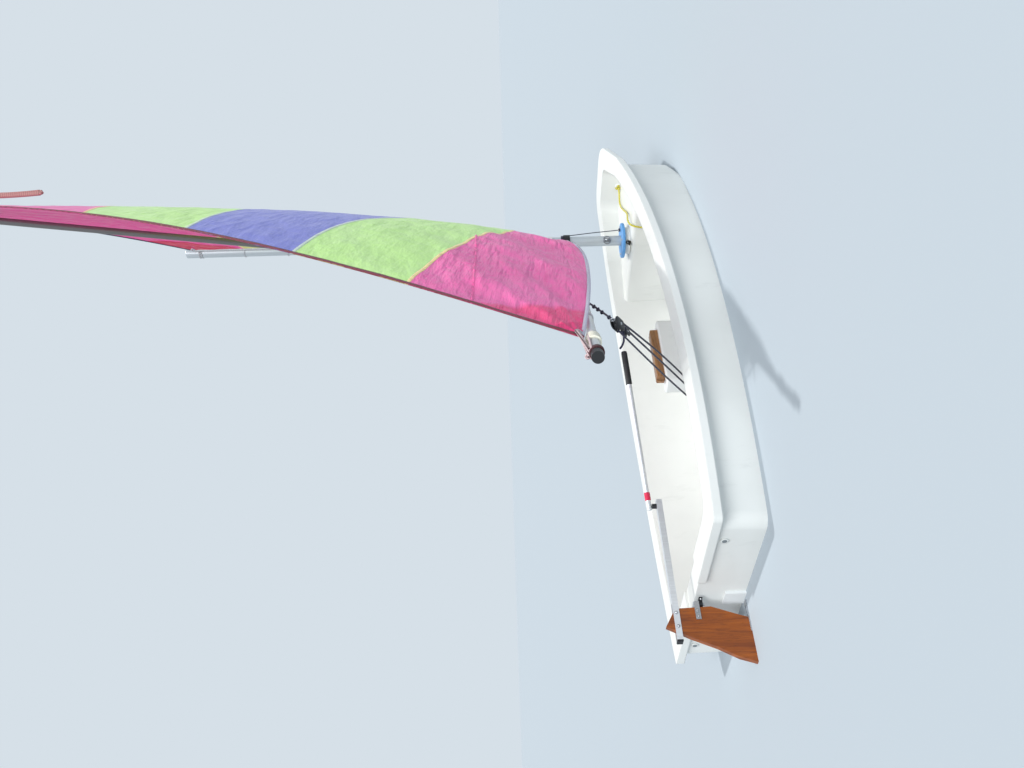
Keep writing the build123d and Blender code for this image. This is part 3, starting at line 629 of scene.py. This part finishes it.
def sail_frame(share):
    """Luff point, chord and lee direction of the section at a share of the height."""
    luff = TACK.lerp(THROAT, share)
    leech = CLEW.lerp(PEAK, share)
    leech = (leech + leeward(leech - luff) * through_rows(share, ROW_FALL)
             - (leech - luff).normalized() * through_rows(share, ROW_HOLLOW))
    chord = leech - luff
    lee = leeward(chord)
    down = chord.normalized().cross(lee)
    if down.z > 0:
        down = -down
    droop = FOOT_DROOP * max(0.0, 1 - share / ROW_SHARES[1])
    return luff, chord, lee * cos(droop) + down * sin(droop)


def fan(du, dv, lines, reach, size):
    """Creases that spread from a corner, by the metres away from it."""
    away = sqrt(du * du + dv * dv)
    angle = atan2(dv, du + 1e-6)
    return size * sin(angle * lines + 3 * noise.noise((away * 6, angle * 2, lines))) \
        * (away / (away + 0.03)) * 2.718 ** (-away / reach)


# Creases at the corners: on the leech, at the head, lines, reach and size
CORNER_FANS = ((True, False, 13, 0.46, 0.0100), (False, False, 11, 0.26, 0.0055),
               (False, True, 12, 0.20, 0.0035), (True, True, 14, 0.26, 0.0030))
HELD_EDGE = 0.05


def crease(u, v, wide, high):
    """Relief of the cloth at a point of the sail, in metres to leeward."""
    x, y = u * wide, v * high
    out = 0.0
    for leech, head, lines, reach, size in CORNER_FANS:
        out += fan(wide - x if leech else x, high - y if head else y, lines, reach, size)
    slant = Vector((x * 0.62 + y * 0.78, -x * 0.78 + y * 0.62, 0))
    low = max(0.0, 1 - v / 0.30)
    out += 0.0220 * low * noise.noise((slant.x * 8, slant.y * 2.0, 1.0))
    out += 0.0100 * low * noise.noise((slant.x * 22, slant.y * 6, 5.0))
    out += 0.0035 * noise.noise((x * 2.0, y * 7.0, 7.0)) * (0.4 + low)
    out += 0.0016 * noise.noise((x * 16, y * 16, 3.0))
    # The cloth is held flat at its edges, where the tapes and ties pull
    edge = min(x, wide - x, y, high - y)
    return out * min(1.0, max(edge, 0.0) / HELD_EDGE)


def cloth_height(u):
    """Length of the cloth from foot to head, at a share of the way from luff to leech."""
    return LUFF_LENGTH + (LEECH_LENGTH - LUFF_LENGTH) * u


def cloth_point(u, v):
    """Point of the sail at shares u along its chord and v up its height."""
    luff, chord, lee = sail_frame(v)
    length = chord.length
    e = chord / length
    rise, middle = through_rows(v, ROW_CAMBER) * length, DRAFT * length
    centre = (middle * middle + rise * rise - length * middle) / (2 * rise)
    radius = sqrt(length * length / 4 + centre * centre)
    first, last = atan2(-centre, -length / 2), atan2(-centre, length / 2)
    if centre > 0 and last > first:
        last -= 2 * pi
    angle = first + (last - first) * u
    x = length / 2 + radius * cos(angle)
    y = centre + radius * sin(angle)
    return (luff + e * x + lee * (y + CLOTH_LEE)
            + leeward(chord) * crease(u, v, length, cloth_height(u)))


def bowed(low, middle, high):
    """Panel boundary as a share of the height at u, from luff to leech."""
    return lambda u: (1 - u) ** 2 * low + 2 * u * (1 - u) * middle + u * u * high


seams = [bowed(0.030, 0.165, 0.200), bowed(0.160, 0.342, 0.342),
         bowed(0.575, 0.534, 0.492), bowed(0.850, 0.782, 0.648)]
edges = [lambda u: 0.0, *seams, lambda u: 1.0]
panel_cloth = [LOW_PINK, LIME, PURPLE, LIME, PINK]
# On the back, the olive lime and the deeper pink are painted shade of the same cloth
back_cloth = [PINK, SHADED_BACK_LIME, PURPLE, SHADED_BACK_LIME, SHADED_BACK_PINK]
# Rows of the mesh in each panel, and its columns
panel_rows = (26, 24, 26, 30, 34)
COLUMNS = 110
CLOTH_UV = (1.45, 2.2)


def flat_uv(u, v):
    """Cloth coordinates in metres, for the weave."""
    return (u * CLOTH_UV[0], v * CLOTH_UV[1])


def sail_mesh():
    rows, uvs, marks = [], [], []
    for panel, count in enumerate(panel_rows):
        for step in range(count + (panel == len(panel_rows) - 1)):
            row, uv = [], []
            for i in range(COLUMNS + 1):
                u = i / COLUMNS
                v = edges[panel](u) + (edges[panel + 1](u) - edges[panel](u)) * step / count
                row.append(cloth_point(u, v))
                uv.append(flat_uv(u, v))
            rows.append(row)
            uvs.append(uv)
            marks.append(panel)
    return grid_object("sail_cloth", rows, uvs, back_cloth + panel_cloth,
                       face_material=lambda i, j: marks[j])


def thicken(made, thickness, back=0):
    """Give a sheet its thickness, both ways.

    back is how many slots further on the other side's materials are.
    """
    solid = made.modifiers.new("cloth", "SOLIDIFY")
    solid.thickness, solid.offset, solid.material_offset = thickness, 0.0, back
    with bpy.context.temp_override(object=made, active_object=made):
        bpy.ops.object.modifier_apply(modifier=solid.name)
    return made


def strip(name, line, width, material, thickness, inward=0.5, count=90, across=3):
    """Tape sewn along a line of the sail; inward is the share of its width past the line."""
    rows, uvs, run = [], [], 0.0
    for k in range(count + 1):
        u, v, du, dv = line(k / count)
        wide, high = sail_frame(v)[1].length, cloth_height(u)
        offsets = [(i / across - 1 + inward) * width for i in range(across + 1)]
        rows.append([cloth_point(min(1.0, max(0.0, u + du * off / wide)),
                                 min(1.0, max(0.0, v + dv * off / high))) for off in offsets])
        if k:
            run += (rows[-1][0] - rows[-2][0]).length
        uvs.append([(off, run) for off in offsets])
    return thicken(grid_object(name, rows, uvs, [material]), thickness)


def corner_patch(name, uc, vc, radius, material, thickness):
    """Doubled cloth that rounds off a corner of the sail."""
    rings, rays = 12, 24
    rows, uvs = [], []
    for j in range(rings + 1):
        row, uv = [], []
        for i in range(rays + 1):
            a = pi / 2 * i / rays
            reach = radius * j / rings * (1 + 0.12 * cos(4 * a))
            v = abs(vc - reach * sin(a) / cloth_height(uc))
            u = abs(uc - reach * cos(a) / sail_frame(v)[1].length)
            row.append(cloth_point(u, v))
            uv.append(flat_uv(u, v))
        rows.append(row)
        uvs.append(uv)
    return thicken(grid_object(name, rows, uvs, [material]), thickness)


sail = thicken(sail_mesh(), CLOTH, 5)
PALE_SEAM = sailcloth("seam_overlap", (250, 214, 150), (252, 224, 170))
PALE_PURPLE = sailcloth("seam_purple", (196, 214, 196), (206, 224, 206))
# Edge tapes: name, line of the sail with its way inward, width, cloth, thickness and steps
sail_trim = [strip(name, line, width, cloth, thickness, 1.0, steps, 2)
             for name, line, width, cloth, thickness, steps in (
                 ("leech_tape", lambda t: (1.0, t, -1.0, 0.0), 0.013, LEECH_TAPE, 0.0034, 120),
                 ("foot_tape", lambda t: (t, 0.0, 0.0, 1.0), 0.012, FOOT_TAPE, 0.0036, 90),
                 ("luff_tape", lambda t: (0.0, t, 1.0, 0.0), 0.024, LUFF_TAPE, 0.0034, 90),
                 ("head_tape_painted_shade", lambda t: (t, 1.0, 0.0, -1.0), 0.012, SHADED_HEAD_TAPE, 0.0034, 80))]
seam_cloth = (PALE_SEAM, PALE_PURPLE, PALE_PURPLE, PALE_SEAM)
for number, (seam, cloth) in enumerate(zip(seams, seam_cloth), 1):
    sail_trim.append(strip(f"panel_seam_{number}", lambda t, seam=seam: (t, seam(t), 0.0, 1.0),
                           0.011, cloth, 0.0022))
sail_trim.append(strip("cloth_seam", lambda t: (0.62 + 0.38 * t, 0.163 - 0.038 * t, 0.0, 1.0),
                       0.006, LOW_PINK, 0.0030, 0.5, 160))
for name, uc, vc, radius, cloth in (
        ("clew", 1.0, 0.0, 0.085, LOW_PINK), ("tack", 0.0, 0.0, 0.16, LOW_PINK),
        ("throat", 0.0, 1.0, 0.20, RED), ("peak", 1.0, 1.0, 0.34, RED)):
    sail_trim.append(corner_patch(f"{name}_patch", uc, vc, radius, cloth, 0.0017))
    sail_trim.append(corner_patch(f"{name}_patch_inner", uc, vc, radius * 0.55, cloth, 0.0022))


def cringle(name, u, v):
    """Pressed eyelet in a corner of the sail."""
    here, step = cloth_point(u, v), 0.01
    face = (cloth_point(min(u + step, 1), v) - here).cross(
        cloth_point(u, min(v + step, 1)) - here)
    return lathe(name, here, face,
                 [(-0.0028, 0.0062), (-0.0034, 0.0085), (-0.0024, 0.0112), (0.0024, 0.0112),
                  (0.0034, 0.0085), (0.0028, 0.0062), (-0.0028, 0.0062)], STEEL, solid=False)


cringles = [cringle("clew_cringle", 0.988, 0.0075), cringle("tack_cringle", 0.017, 0.013),
            cringle("throat_cringle", 0.022, 0.988), cringle("peak_cringle", 0.984, 0.992)]
pieces("rig", "sailcloth", sail, *sail_trim)
pieces("rig", "fitting_metal", *cringles)
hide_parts("sail")


# ---- rig and fittings

def boom_at(distance, across=0.0, lift=0.0):
    """Point along the boom from the mast's axis, to port of it and above it."""
    return BOOM_ROOT + ALONG * distance + BOOM_PORT * across + UP * lift


def block(name, centre, hang, pin, size):
    """Sheet block: two cheeks, a sheave between them and its becket strap."""
    hang, pin = Vector(hang).normalized(), Vector(pin).normalized()
    side = hang.cross(pin)
    steps = 40
    outline = []
    for k in range(steps):
        a = 2 * pi * k / steps
        long_end = 0.28 if sin(a) > 0 else -0.22
        outline.append((cos(a) * size * 0.42, sin(a) * size * 0.42 + long_end * size))
    made = []
    for face, letter in ((-1, "a"), (1, "b")):
        rows, uvs = [], []
        for depth, shrink in ((0.30, 1.0), (0.42, 1.0), (0.50, 0.86), (0.50, 0.45), (0.47, 0.30)):
            rows.append([centre + side * x * shrink + hang * y * shrink
                         + pin * face * depth * size * 0.55 for x, y in outline])
            uvs.append([(k / steps, depth) for k in range(steps + 1)])
        cheek = grid_object(f"{name}_cheek_{letter}", rows, uvs, [BLACK], closed=True)
        close_ends(cheek)
        cheek.data.set_sharp_from_angle(angle=radians(40))
        made.append(cheek)
    for kind, material, sides, profile in (
            ("sheave", BLACK, 28, ((0.15, 0.108), (0.15, 0.36), (0.06, 0.3024))),
            ("pin", STEEL, 16, ((0.30, 0.09), (0.28, 0.11)))):
        half = [(x * size, r * size) for x, r in profile]
        made.append(lathe(f"{name}_{kind}", centre, pin,
                          [(-x, r) for x, r in half] + half[::-1], material, sides))
    made.append(ring(f"{name}_becket", centre + hang * size * 0.78, side, size * 0.16,
                     size * 0.045, STEEL, 24))
    return made


sheet_top = boom_at(1.450, 0.0, -0.094) - right * 0.022
lead_end = boom_at(1.240, 0.0, -0.0190)
floor_spot = Vector((-0.400, 0.0, floor_z(-0.400)))
FLOOR_BLOCK = floor_spot + UP * 0.062
SHEET_R, LEAD_R = 0.0032, 0.0034
sheet_dir = (FLOOR_BLOCK - sheet_top).normalized()
sheet_side = sheet_dir.cross(UP).normalized()
if sheet_side.dot(right) < 0:
    sheet_side = -sheet_side
sheet_pin = sheet_dir.cross(sheet_side)

boom_block = block("boom_block", sheet_top, -sheet_dir, sheet_pin, 0.046)
pieces("rig", "fitting_black", *boom_block)
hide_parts("sheet_block_boom")

# Strop that the upper block hangs from, and its seizings
strop_foot = sheet_top - sheet_dir * 0.040
strop_dir = (strop_foot - lead_end).normalized()
strop = soft_line("sheet_strop", [
    lead_end, lead_end.lerp(strop_foot, 0.5) - UP * 0.003, strop_foot], LEAD_R, NAVY_ROPE)
strop_trim = [ring(f"strop_loop_{k + 1}", boom_at(1.236 + 0.0064 * k), ALONG, 0.0190, 0.0030,
                   NAVY_ROPE) for k in range(2)]
strop_trim += [knot(f"strop_knot_{k}", lead_end.lerp(strop_foot, share), strop_dir, 0.0056,
                    0.0022, NAVY_ROPE) for k, share in enumerate((0.24, 0.42, 0.60, 0.90), 1)]
pieces("rig", "tie_cord", strop, *strop_trim)

second_block_at = sheet_top + sheet_dir * 0.056
second_block = block("sheet_block_low", second_block_at, -sheet_dir, sheet_pin, 0.031)
pieces("rig", "fitting_black", *second_block)
floor_block = block("floor_block", FLOOR_BLOCK, -sheet_dir.lerp(-UP, 0.4), sheet_side, 0.050)
floor_base = lathe("floor_block_base", floor_spot - UP * 0.002, UP,
                   [(0, 0.026), (0.008, 0.026), (0.012, 0.022), (0.014, 0.012), (0.030, 0.010),
                    (0.034, 0.006)], BLACK, 36)
floor_spring = [ring(f"floor_block_spring_{k + 1}", floor_spot + UP * (0.016 + 0.0042 * k), UP,
                     0.0125, 0.0014, STEEL, 28) for k in range(5)]
pieces("hull", "fitting_black", *floor_block, floor_base)
pieces("hull", "fitting_metal", *floor_spring)
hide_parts("sheet_block_floor")

# The sheet's three parts: upper end, place across the floor block and bow to the side.
for number, (top, low, bow) in enumerate((
        (sheet_top + sheet_side * 0.0205, 0.016, 0.026),
        (second_block_at + sheet_side * 0.0125, 0.004, 0.004),
        (sheet_top - sheet_side * 0.0205, -0.018, -0.014)), 1):
    foot = FLOOR_BLOCK - sheet_dir * 0.012 + sheet_side * low
    line = [top.lerp(foot, k / 24) + sheet_side * bow * sin(pi * k / 24) for k in range(25)]
    part = tube(f"mainsheet_part_{number}", line, SHEET_R, NAVY_ROPE)
    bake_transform(part)
knot_at = sheet_top + sheet_dir * 0.036
tail_from = knot_at - sheet_side * 0.006
sheet_tail = soft_line("mainsheet_tail", [
    tail_from, tail_from - right * 0.022 - UP * 0.004, tail_from - right * 0.044,
    tail_from - right * 0.056 + UP * 0.010], LEAD_R, NAVY_ROPE)
sheet_knot = knot("mainsheet_knot", knot_at, sheet_dir, 0.010, LEAD_R, NAVY_ROPE)
pieces("rig", "tie_cord", sheet_tail, sheet_knot)

# Outhaul: two parts from the clew to the boom's end, thin maroon lines of painted shade along
# their edges and between them, and turns round the end
BOOM_END = 1.845
clew_eye = cloth_point(0.988, 0.0075)
outhaul = []
for kind, sides, rise, top, radius, rope in (
        ("outhaul", (-0.006, 0.006), 0.0, (0.019, 0.020), 0.0054, PINK_ROPE),
        # Thin maroon tubes at the parts' outer edges and between them: painted shade
        ("outhaul_edge_shade", (-0.0115, 0.0, 0.0115), 0.002, (0.0225, 0.0225), 0.0022, MAROON_ROPE)):
    for number, side in enumerate(sides, 1):
        outhaul.append(soft_line(f"{kind}_{number}", [
            clew_eye + UP * (side * 0.5 + rise) + BOOM_PORT * side * 0.4,
            clew_eye.lerp(boom_at(BOOM_END, side, top[0]), 0.5),
            boom_at(BOOM_END, side, top[1])], radius, rope))
outhaul += [tube(f"outhaul_return_{k + 1}",
                 [boom_at(x, side, 0.0150 + 0.002 * sin(pi * k))
                  for x in (1.700, 1.750, 1.800, BOOM_END)], 0.0036, PINK_ROPE)
            for k, side in enumerate((-0.0145, 0.0145))]
outhaul += [ring(f"outhaul_turn_{k + 1}", boom_at(1.834 + 0.0062 * k), ALONG, 0.0192, 0.0031,
                 MAROON_ROPE, tilt=0.002) for k in range(3)]
outhaul.append(knot("outhaul_knot", boom_at(1.832, -0.012, 0.020), ALONG, 0.010, 0.0031,
                    PINK_ROPE))
clew_strap = lathe("clew_strap", boom_at(1.690), ALONG,
                   [(0, 0.0186), (0.001, 0.0226), (0.026, 0.0236), (0.051, 0.0226),
                    (0.052, 0.0186)], CREAM_TAPE, 40)
pieces("rig", "tie_cord", clew_strap, *outhaul)

# Lashings at the tack and the throat, the mast's band and the line down to the collar
lashings = [ring(f"tack_lashing_{k + 1}", MAST + UP * (0.4865 + 0.0062 * k), (0.03, 0.02, 1),
                 0.0262, 0.0031, NAVY_ROPE, 40) for k in range(2)]
lashings += [ring(f"throat_lashing_{k + 1}", MAST + UP * (2.114 + 0.005 * k), (0.03, -0.04, 1),
                  0.0238, 0.0014, WHITE_LINE, 40) for k in range(2)]
tack_strap = lathe("tack_strap", MAST + UP * 0.534, UP,
                   [(0, 0.0230), (0.001, 0.0250), (0.030, 0.0254), (0.055, 0.0250),
                    (0.056, 0.0230)], LUFF_TAPE, 40)
pieces("rig", "webbing", tack_strap)
lashings.append(soft_line("tack_line", [
    MAST + right * 0.0262 + UP * 0.488, MAST + right * 0.030 + UP * 0.44,
    MAST + right * 0.040 + UP * 0.34, MAST + right * 0.047 + UP * 0.236], 0.0020, NAVY_ROPE, 6))
lashings.append(knot("tack_line_knot", MAST + right * 0.047 + UP * 0.2315, UP, 0.007, 0.0020,
                     NAVY_ROPE))
pieces("rig", "tie_cord", *lashings[:-2])
pieces("hull", "tie_cord", *lashings[-2:])
cleat_out = Vector((cos(radians(229)), sin(radians(229)), 0))
cleat_ring = ring("mast_cleat_ring", MAST + UP * 0.290 + cleat_out * 0.0285, cleat_out, 0.0165,
                  0.0022, GREY_ALLOY)
collar_hook = [ring("collar_hook_ring", MAST + Vector((-0.060, -0.040, 0.200)), (0.2, 1, 0.1),
                    0.009, 0.0026, BLACK, 24),
               lathe("collar_hook_pad", MAST + Vector((-0.056, -0.034, 0.1925)), UP,
                     [(0, 0.011), (0.004, 0.011), (0.006, 0.007)], BLACK, 20)]
pieces("hull", "fitting_metal", cleat_ring)
pieces("hull", "fitting_black", *collar_hook)
mast_band = lathe("mast_band", MAST + UP * 1.365, UP,
                  [(0, 0.0228), (0.0005, 0.0246), (0.034, 0.0246), (0.0345, 0.0228)],
                  NAVY_WEB, 36)
pieces("hull", "webbing", mast_band)
tie_step = (THROAT_Z - TACK_Z - 0.070) / 8
luff_ties = [ring(f"luff_tie_{k + 1}", MAST + UP * (TACK_Z + 0.0425 + k * tie_step),
                  (0.02 * sin(3 * k), 0.03, 1), 0.0246, 0.0014, WHITE_LINE, 36)
             for k in range(9)]
pieces("rig", "tie_cord", *luff_ties)
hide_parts("luff_ties")

# Sprit ends and the loop that holds its heel
sprit_heel = Vector((MAST.x - 0.021, 0.048, 1.190))
sprit_top = PEAK - leeward(PEAK - THROAT) * 0.0138
sprit_dir = (sprit_top - sprit_heel).normalized()
sprit_plugs = [
    lathe("sprit_heel_plug", sprit_heel, -sprit_dir,
          [(-0.030, 0.0137), (-0.028, 0.0146), (0.0, 0.0146), (0.010, 0.010), (0.016, 0.004)],
          BLACK, 24),
    lathe("sprit_top_plug", sprit_top, sprit_dir,
          [(-0.034, 0.0137), (-0.032, 0.0144), (0.0, 0.0144), (0.004, 0.011)], BLACK, 24)]
pieces("rig", "fitting_black", *sprit_plugs)
heel_eye = sprit_heel - sprit_dir * 0.004
# The loop lies close round the mast and the sprit's heel, as a long ring
snotter_mid = (heel_eye + MAST + UP * heel_eye.z) / 2
to_heel = heel_eye - snotter_mid
snotter = [
    loop("snotter_loop", snotter_mid,
         to_heel.normalized() * (to_heel.length + 0.0290) + UP * 0.016,
         UP.cross(to_heel).normalized() * 0.0345, 0.0030, NAVY_ROPE, 44),
    soft_line("snotter_line", [
        heel_eye + Vector((0.004, -0.012, 0.03)), MAST + Vector((-0.012, 0.034, 1.27)),
        MAST + Vector((-0.004, 0.028, 1.372))], 0.0030, NAVY_ROPE)]
pieces("rig", "tie_cord", *snotter)

# Ribbon that hangs from the peak to show the wind
RIBBON_STEPS, RIBBON_DROP = 90, 0.65
ribbon_rows, ribbon_uvs = [], []
for k in range(RIBBON_STEPS + 1):
    t = k / RIBBON_STEPS
    twist = atan2(right.y, right.x) + 0.6 * sin(5 * t + 0.5)
    sway = Vector((0.012 * sin(5 * t), 0.018 * sin(3.1 * t), 0))
    half = 0.0120 * (1 - 0.15 * t)
    centre = (PEAK + Vector((0.014, -0.046, -0.030)) - right * 0.0145 * min(1.0, 8 * t) + sway
              - UP * RIBBON_DROP * t)
    side = Vector((cos(twist), sin(twist), 0.0))
    curl = side.cross(UP) * 0.0035
    shares = [(i - 2) / 2 for i in range(5)]
    ribbon_rows.append([centre + side * half * share + curl * sin(pi * share + 3 * t)
                        for share in shares])
    ribbon_uvs.append([(half * share, RIBBON_DROP * t) for share in shares])
ribbon = thicken(grid_object("wind_ribbon", ribbon_rows, ribbon_uvs, [RIBBON]), 0.0012)
ribbon_end = knot("wind_ribbon_knot", ribbon_rows[-1][2] - UP * 0.004, UP, 0.0065, 0.0032, RIBBON)
ribbon_tie = soft_line("wind_ribbon_tie", [
    sprit_top - sprit_dir * 0.012, PEAK + Vector((0.006, -0.026, 0.006)),
    PEAK + Vector((0.014, -0.046, -0.032))], 0.0015, NAVY_ROPE, 6)
pieces("rig", "sailcloth", ribbon, ribbon_end)
pieces("rig", "tie_cord", ribbon_tie)


# ---- rudder, tiller and hull

def bolt(name, at, axis, radius):
    """Domed bolt head on a washer."""
    return lathe(name, at, axis, [(-0.001, radius * 1.5), (0.0012, radius * 1.5),
                                  (0.0012, radius), (0.0036, radius * 0.92),
                                  (0.0050, radius * 0.6), (0.0054, radius * 0.1)], STEEL, 20)


def both_sides(name, places, radius):
    """Bolt heads on both faces of the tiller or the straps, at (x, z) places."""
    face = 0.0123
    return [bolt(f"{name}_{k}_{'port' if s > 0 else 'starboard'}",
                 (x, s * face, z), (0, s, 0), radius)
            for k, (x, z) in enumerate(places, 1) for s in (-1, 1)]


TILLER_Z = 0.236
tiller_bolts = both_sides("tiller_bolt", ((-1.244, TILLER_Z), (-1.196, TILLER_Z)), 0.0042)
strap_bolts = both_sides("strap_bolt", ((-1.191, 0.1655), (-1.211, 0.1655),
                                        (-1.236, -0.0045), (-1.257, -0.0045)), 0.0038)
pieces("rudder", "fitting_metal", *tiller_bolts, *strap_bolts)
gudgeon_places = [(y, z) for z in (0.150, -0.020) for y in (-0.0155, 0.0155)]
gudgeon_bolts = [bolt(f"gudgeon_bolt_{k}", (-1.1502, y, z), (-1, 0, 0), 0.0026)
                 for k, (y, z) in enumerate(gudgeon_places, 1)]
pieces("hull", "fitting_metal", *gudgeon_bolts)

# The extension's axis lies over half the tiller, the swivel, its own radius and a gap
TILLER_HALF, SWIVEL_HEIGHT, EXTENSION_R, SWIVEL_GAP = 0.010, 0.016, 0.009, 0.0016
extension_z = TILLER_Z + TILLER_HALF + SWIVEL_HEIGHT + EXTENSION_R + SWIVEL_GAP
SWING, LIFT = radians(24.0), radians(5.0)
extension_dir = Vector((cos(SWING), -sin(SWING), sin(LIFT))).normalized()
extension_foot = Vector((-0.772, 0, extension_z)) - extension_dir * 0.014
grip = lathe("extension_grip", extension_foot + extension_dir * 0.47, extension_dir,
             [(0, 0.0092), (0.002, 0.0112), (0.120, 0.0112), (0.129, 0.0100), (0.1315, 0.004)],
             BLACK)
joint_band = lathe("extension_joint_band", extension_foot + extension_dir * 0.035, extension_dir,
                   [(0, 0.0092), (0.001, 0.0106), (0.028, 0.0106), (0.029, 0.0092)], RED)
pieces("extension", "fitting_black", grip, joint_band)

# Grips of the transom's plugs, and the screws of the collar
plug_grips = [lathe(f"plug_grip_{k}", (-1.1395, y, 0.120), (-1, 0, 0),
                    [(-0.0010, 0.0080), (0.0014, 0.0078), (0.0020, 0.0062), (0.0012, 0.0050),
                     (0.0012, 0.0020)], DULL_GREY, 24)
              for k, y in enumerate((-0.350, 0.350), 1)]
screw_angles = [radians(45 + 90 * n) for n in range(4)]
collar_screws = [bolt(f"collar_screw_{k}", MAST + Vector((cos(a) * 0.060, sin(a) * 0.060, 0.2252)),
                      (0, 0, 1), 0.0032) for k, a in enumerate(screw_angles, 1)]
pieces("hull", "fitting_black", *plug_grips)
pieces("hull", "fitting_metal", *collar_screws)


# ---- floor and light

def waterline_loop():
    """Outline of the hull at the water, just inside it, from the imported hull's own mesh."""
    bm = bmesh.new()
    bm.from_mesh(nodes["hull_moulding"].data)
    cut = bmesh.ops.bisect_plane(bm, geom=bm.verts[:] + bm.edges[:] + bm.faces[:],
                                 plane_co=(0, 0, 0), plane_no=(0, 0, 1))
    cloud = [v.co.copy() for v in cut["geom_cut"] if isinstance(v, bmesh.types.BMVert)]
    bm.free()
    steps, inside = 240, 0.006
    ways = [Vector((cos(2 * pi * k / steps), sin(2 * pi * k / steps), 0)) for k in range(steps)]
    reaches = [(way, max(p.dot(way) for p in cloud)) for way in ways]
    out = []
    for way in ways:
        ray = min(reach / way.dot(other) for other, reach in reaches if way.dot(other) > 0.02)
        out.append(way * (ray - inside))
    return out


FLOOR_REACH = 90
inner = waterline_loop()
outer = [p.normalized() * FLOOR_REACH for p in inner]
count = len(inner)
floor_mesh = bpy.data.meshes.new("floor")
floor_mesh.from_pydata(inner + outer, [],
                       [(k, (k + 1) % count, count + (k + 1) % count, count + k)
                        for k in range(count)])
floor = new_object("floor", floor_mesh)
floor_mesh.materials.append(Surface("plain_floor", (172, 182, 190), 0.9).material)

world = bpy.data.worlds.new("world")
bpy.context.scene.world = world
world.use_nodes = True
tree = world.node_tree
background, shown = tree.nodes["Background"], tree.nodes.new("ShaderNodeBackground")
for node, colour, strength in ((background, (0.93, 0.97, 1.0, 1), 0.48),
                               (shown, linear((214, 224, 232)), 1.0)):
    node.inputs["Color"].default_value = colour
    node.inputs["Strength"].default_value = strength
path = tree.nodes.new("ShaderNodeLightPath")
either = tree.nodes.new("ShaderNodeMath")
either.operation = "MAXIMUM"
mix = tree.nodes.new("ShaderNodeMixShader")
for a, b in ((path.outputs["Is Camera Ray"], either.inputs[0]),
             (path.outputs["Is Glossy Ray"], either.inputs[1]),
             (either.outputs[0], mix.inputs["Fac"]),
             (background.outputs[0], mix.inputs[1]), (shown.outputs[0], mix.inputs[2]),
             (mix.outputs[0], tree.nodes["World Output"].inputs["Surface"])):
    tree.links.new(a, b)


def sun(name, energy, at, angle, colour):
    """Far light that shines from a direction, with its width in degrees."""
    data = bpy.data.lights.new(name, "SUN")
    data.energy, data.color, data.angle = energy, colour, radians(angle)
    made = new_object(name, data)
    made.location = at
    made.rotation_euler = (LIT_POINT - Vector(at)).to_track_quat("-Z", "Y").to_euler()


LIT_POINT = Vector((0, 0, 0.3))
sun("key", 1.7, (1.0, -0.4, 4.0), 3.0, (1.0, 0.985, 0.96))
sun("fill", 2.55, (-2.6, -2.8, 3.4), 35.0, (0.96, 0.98, 1.0))

bpy.context.scene.view_settings.view_transform = "Standard"
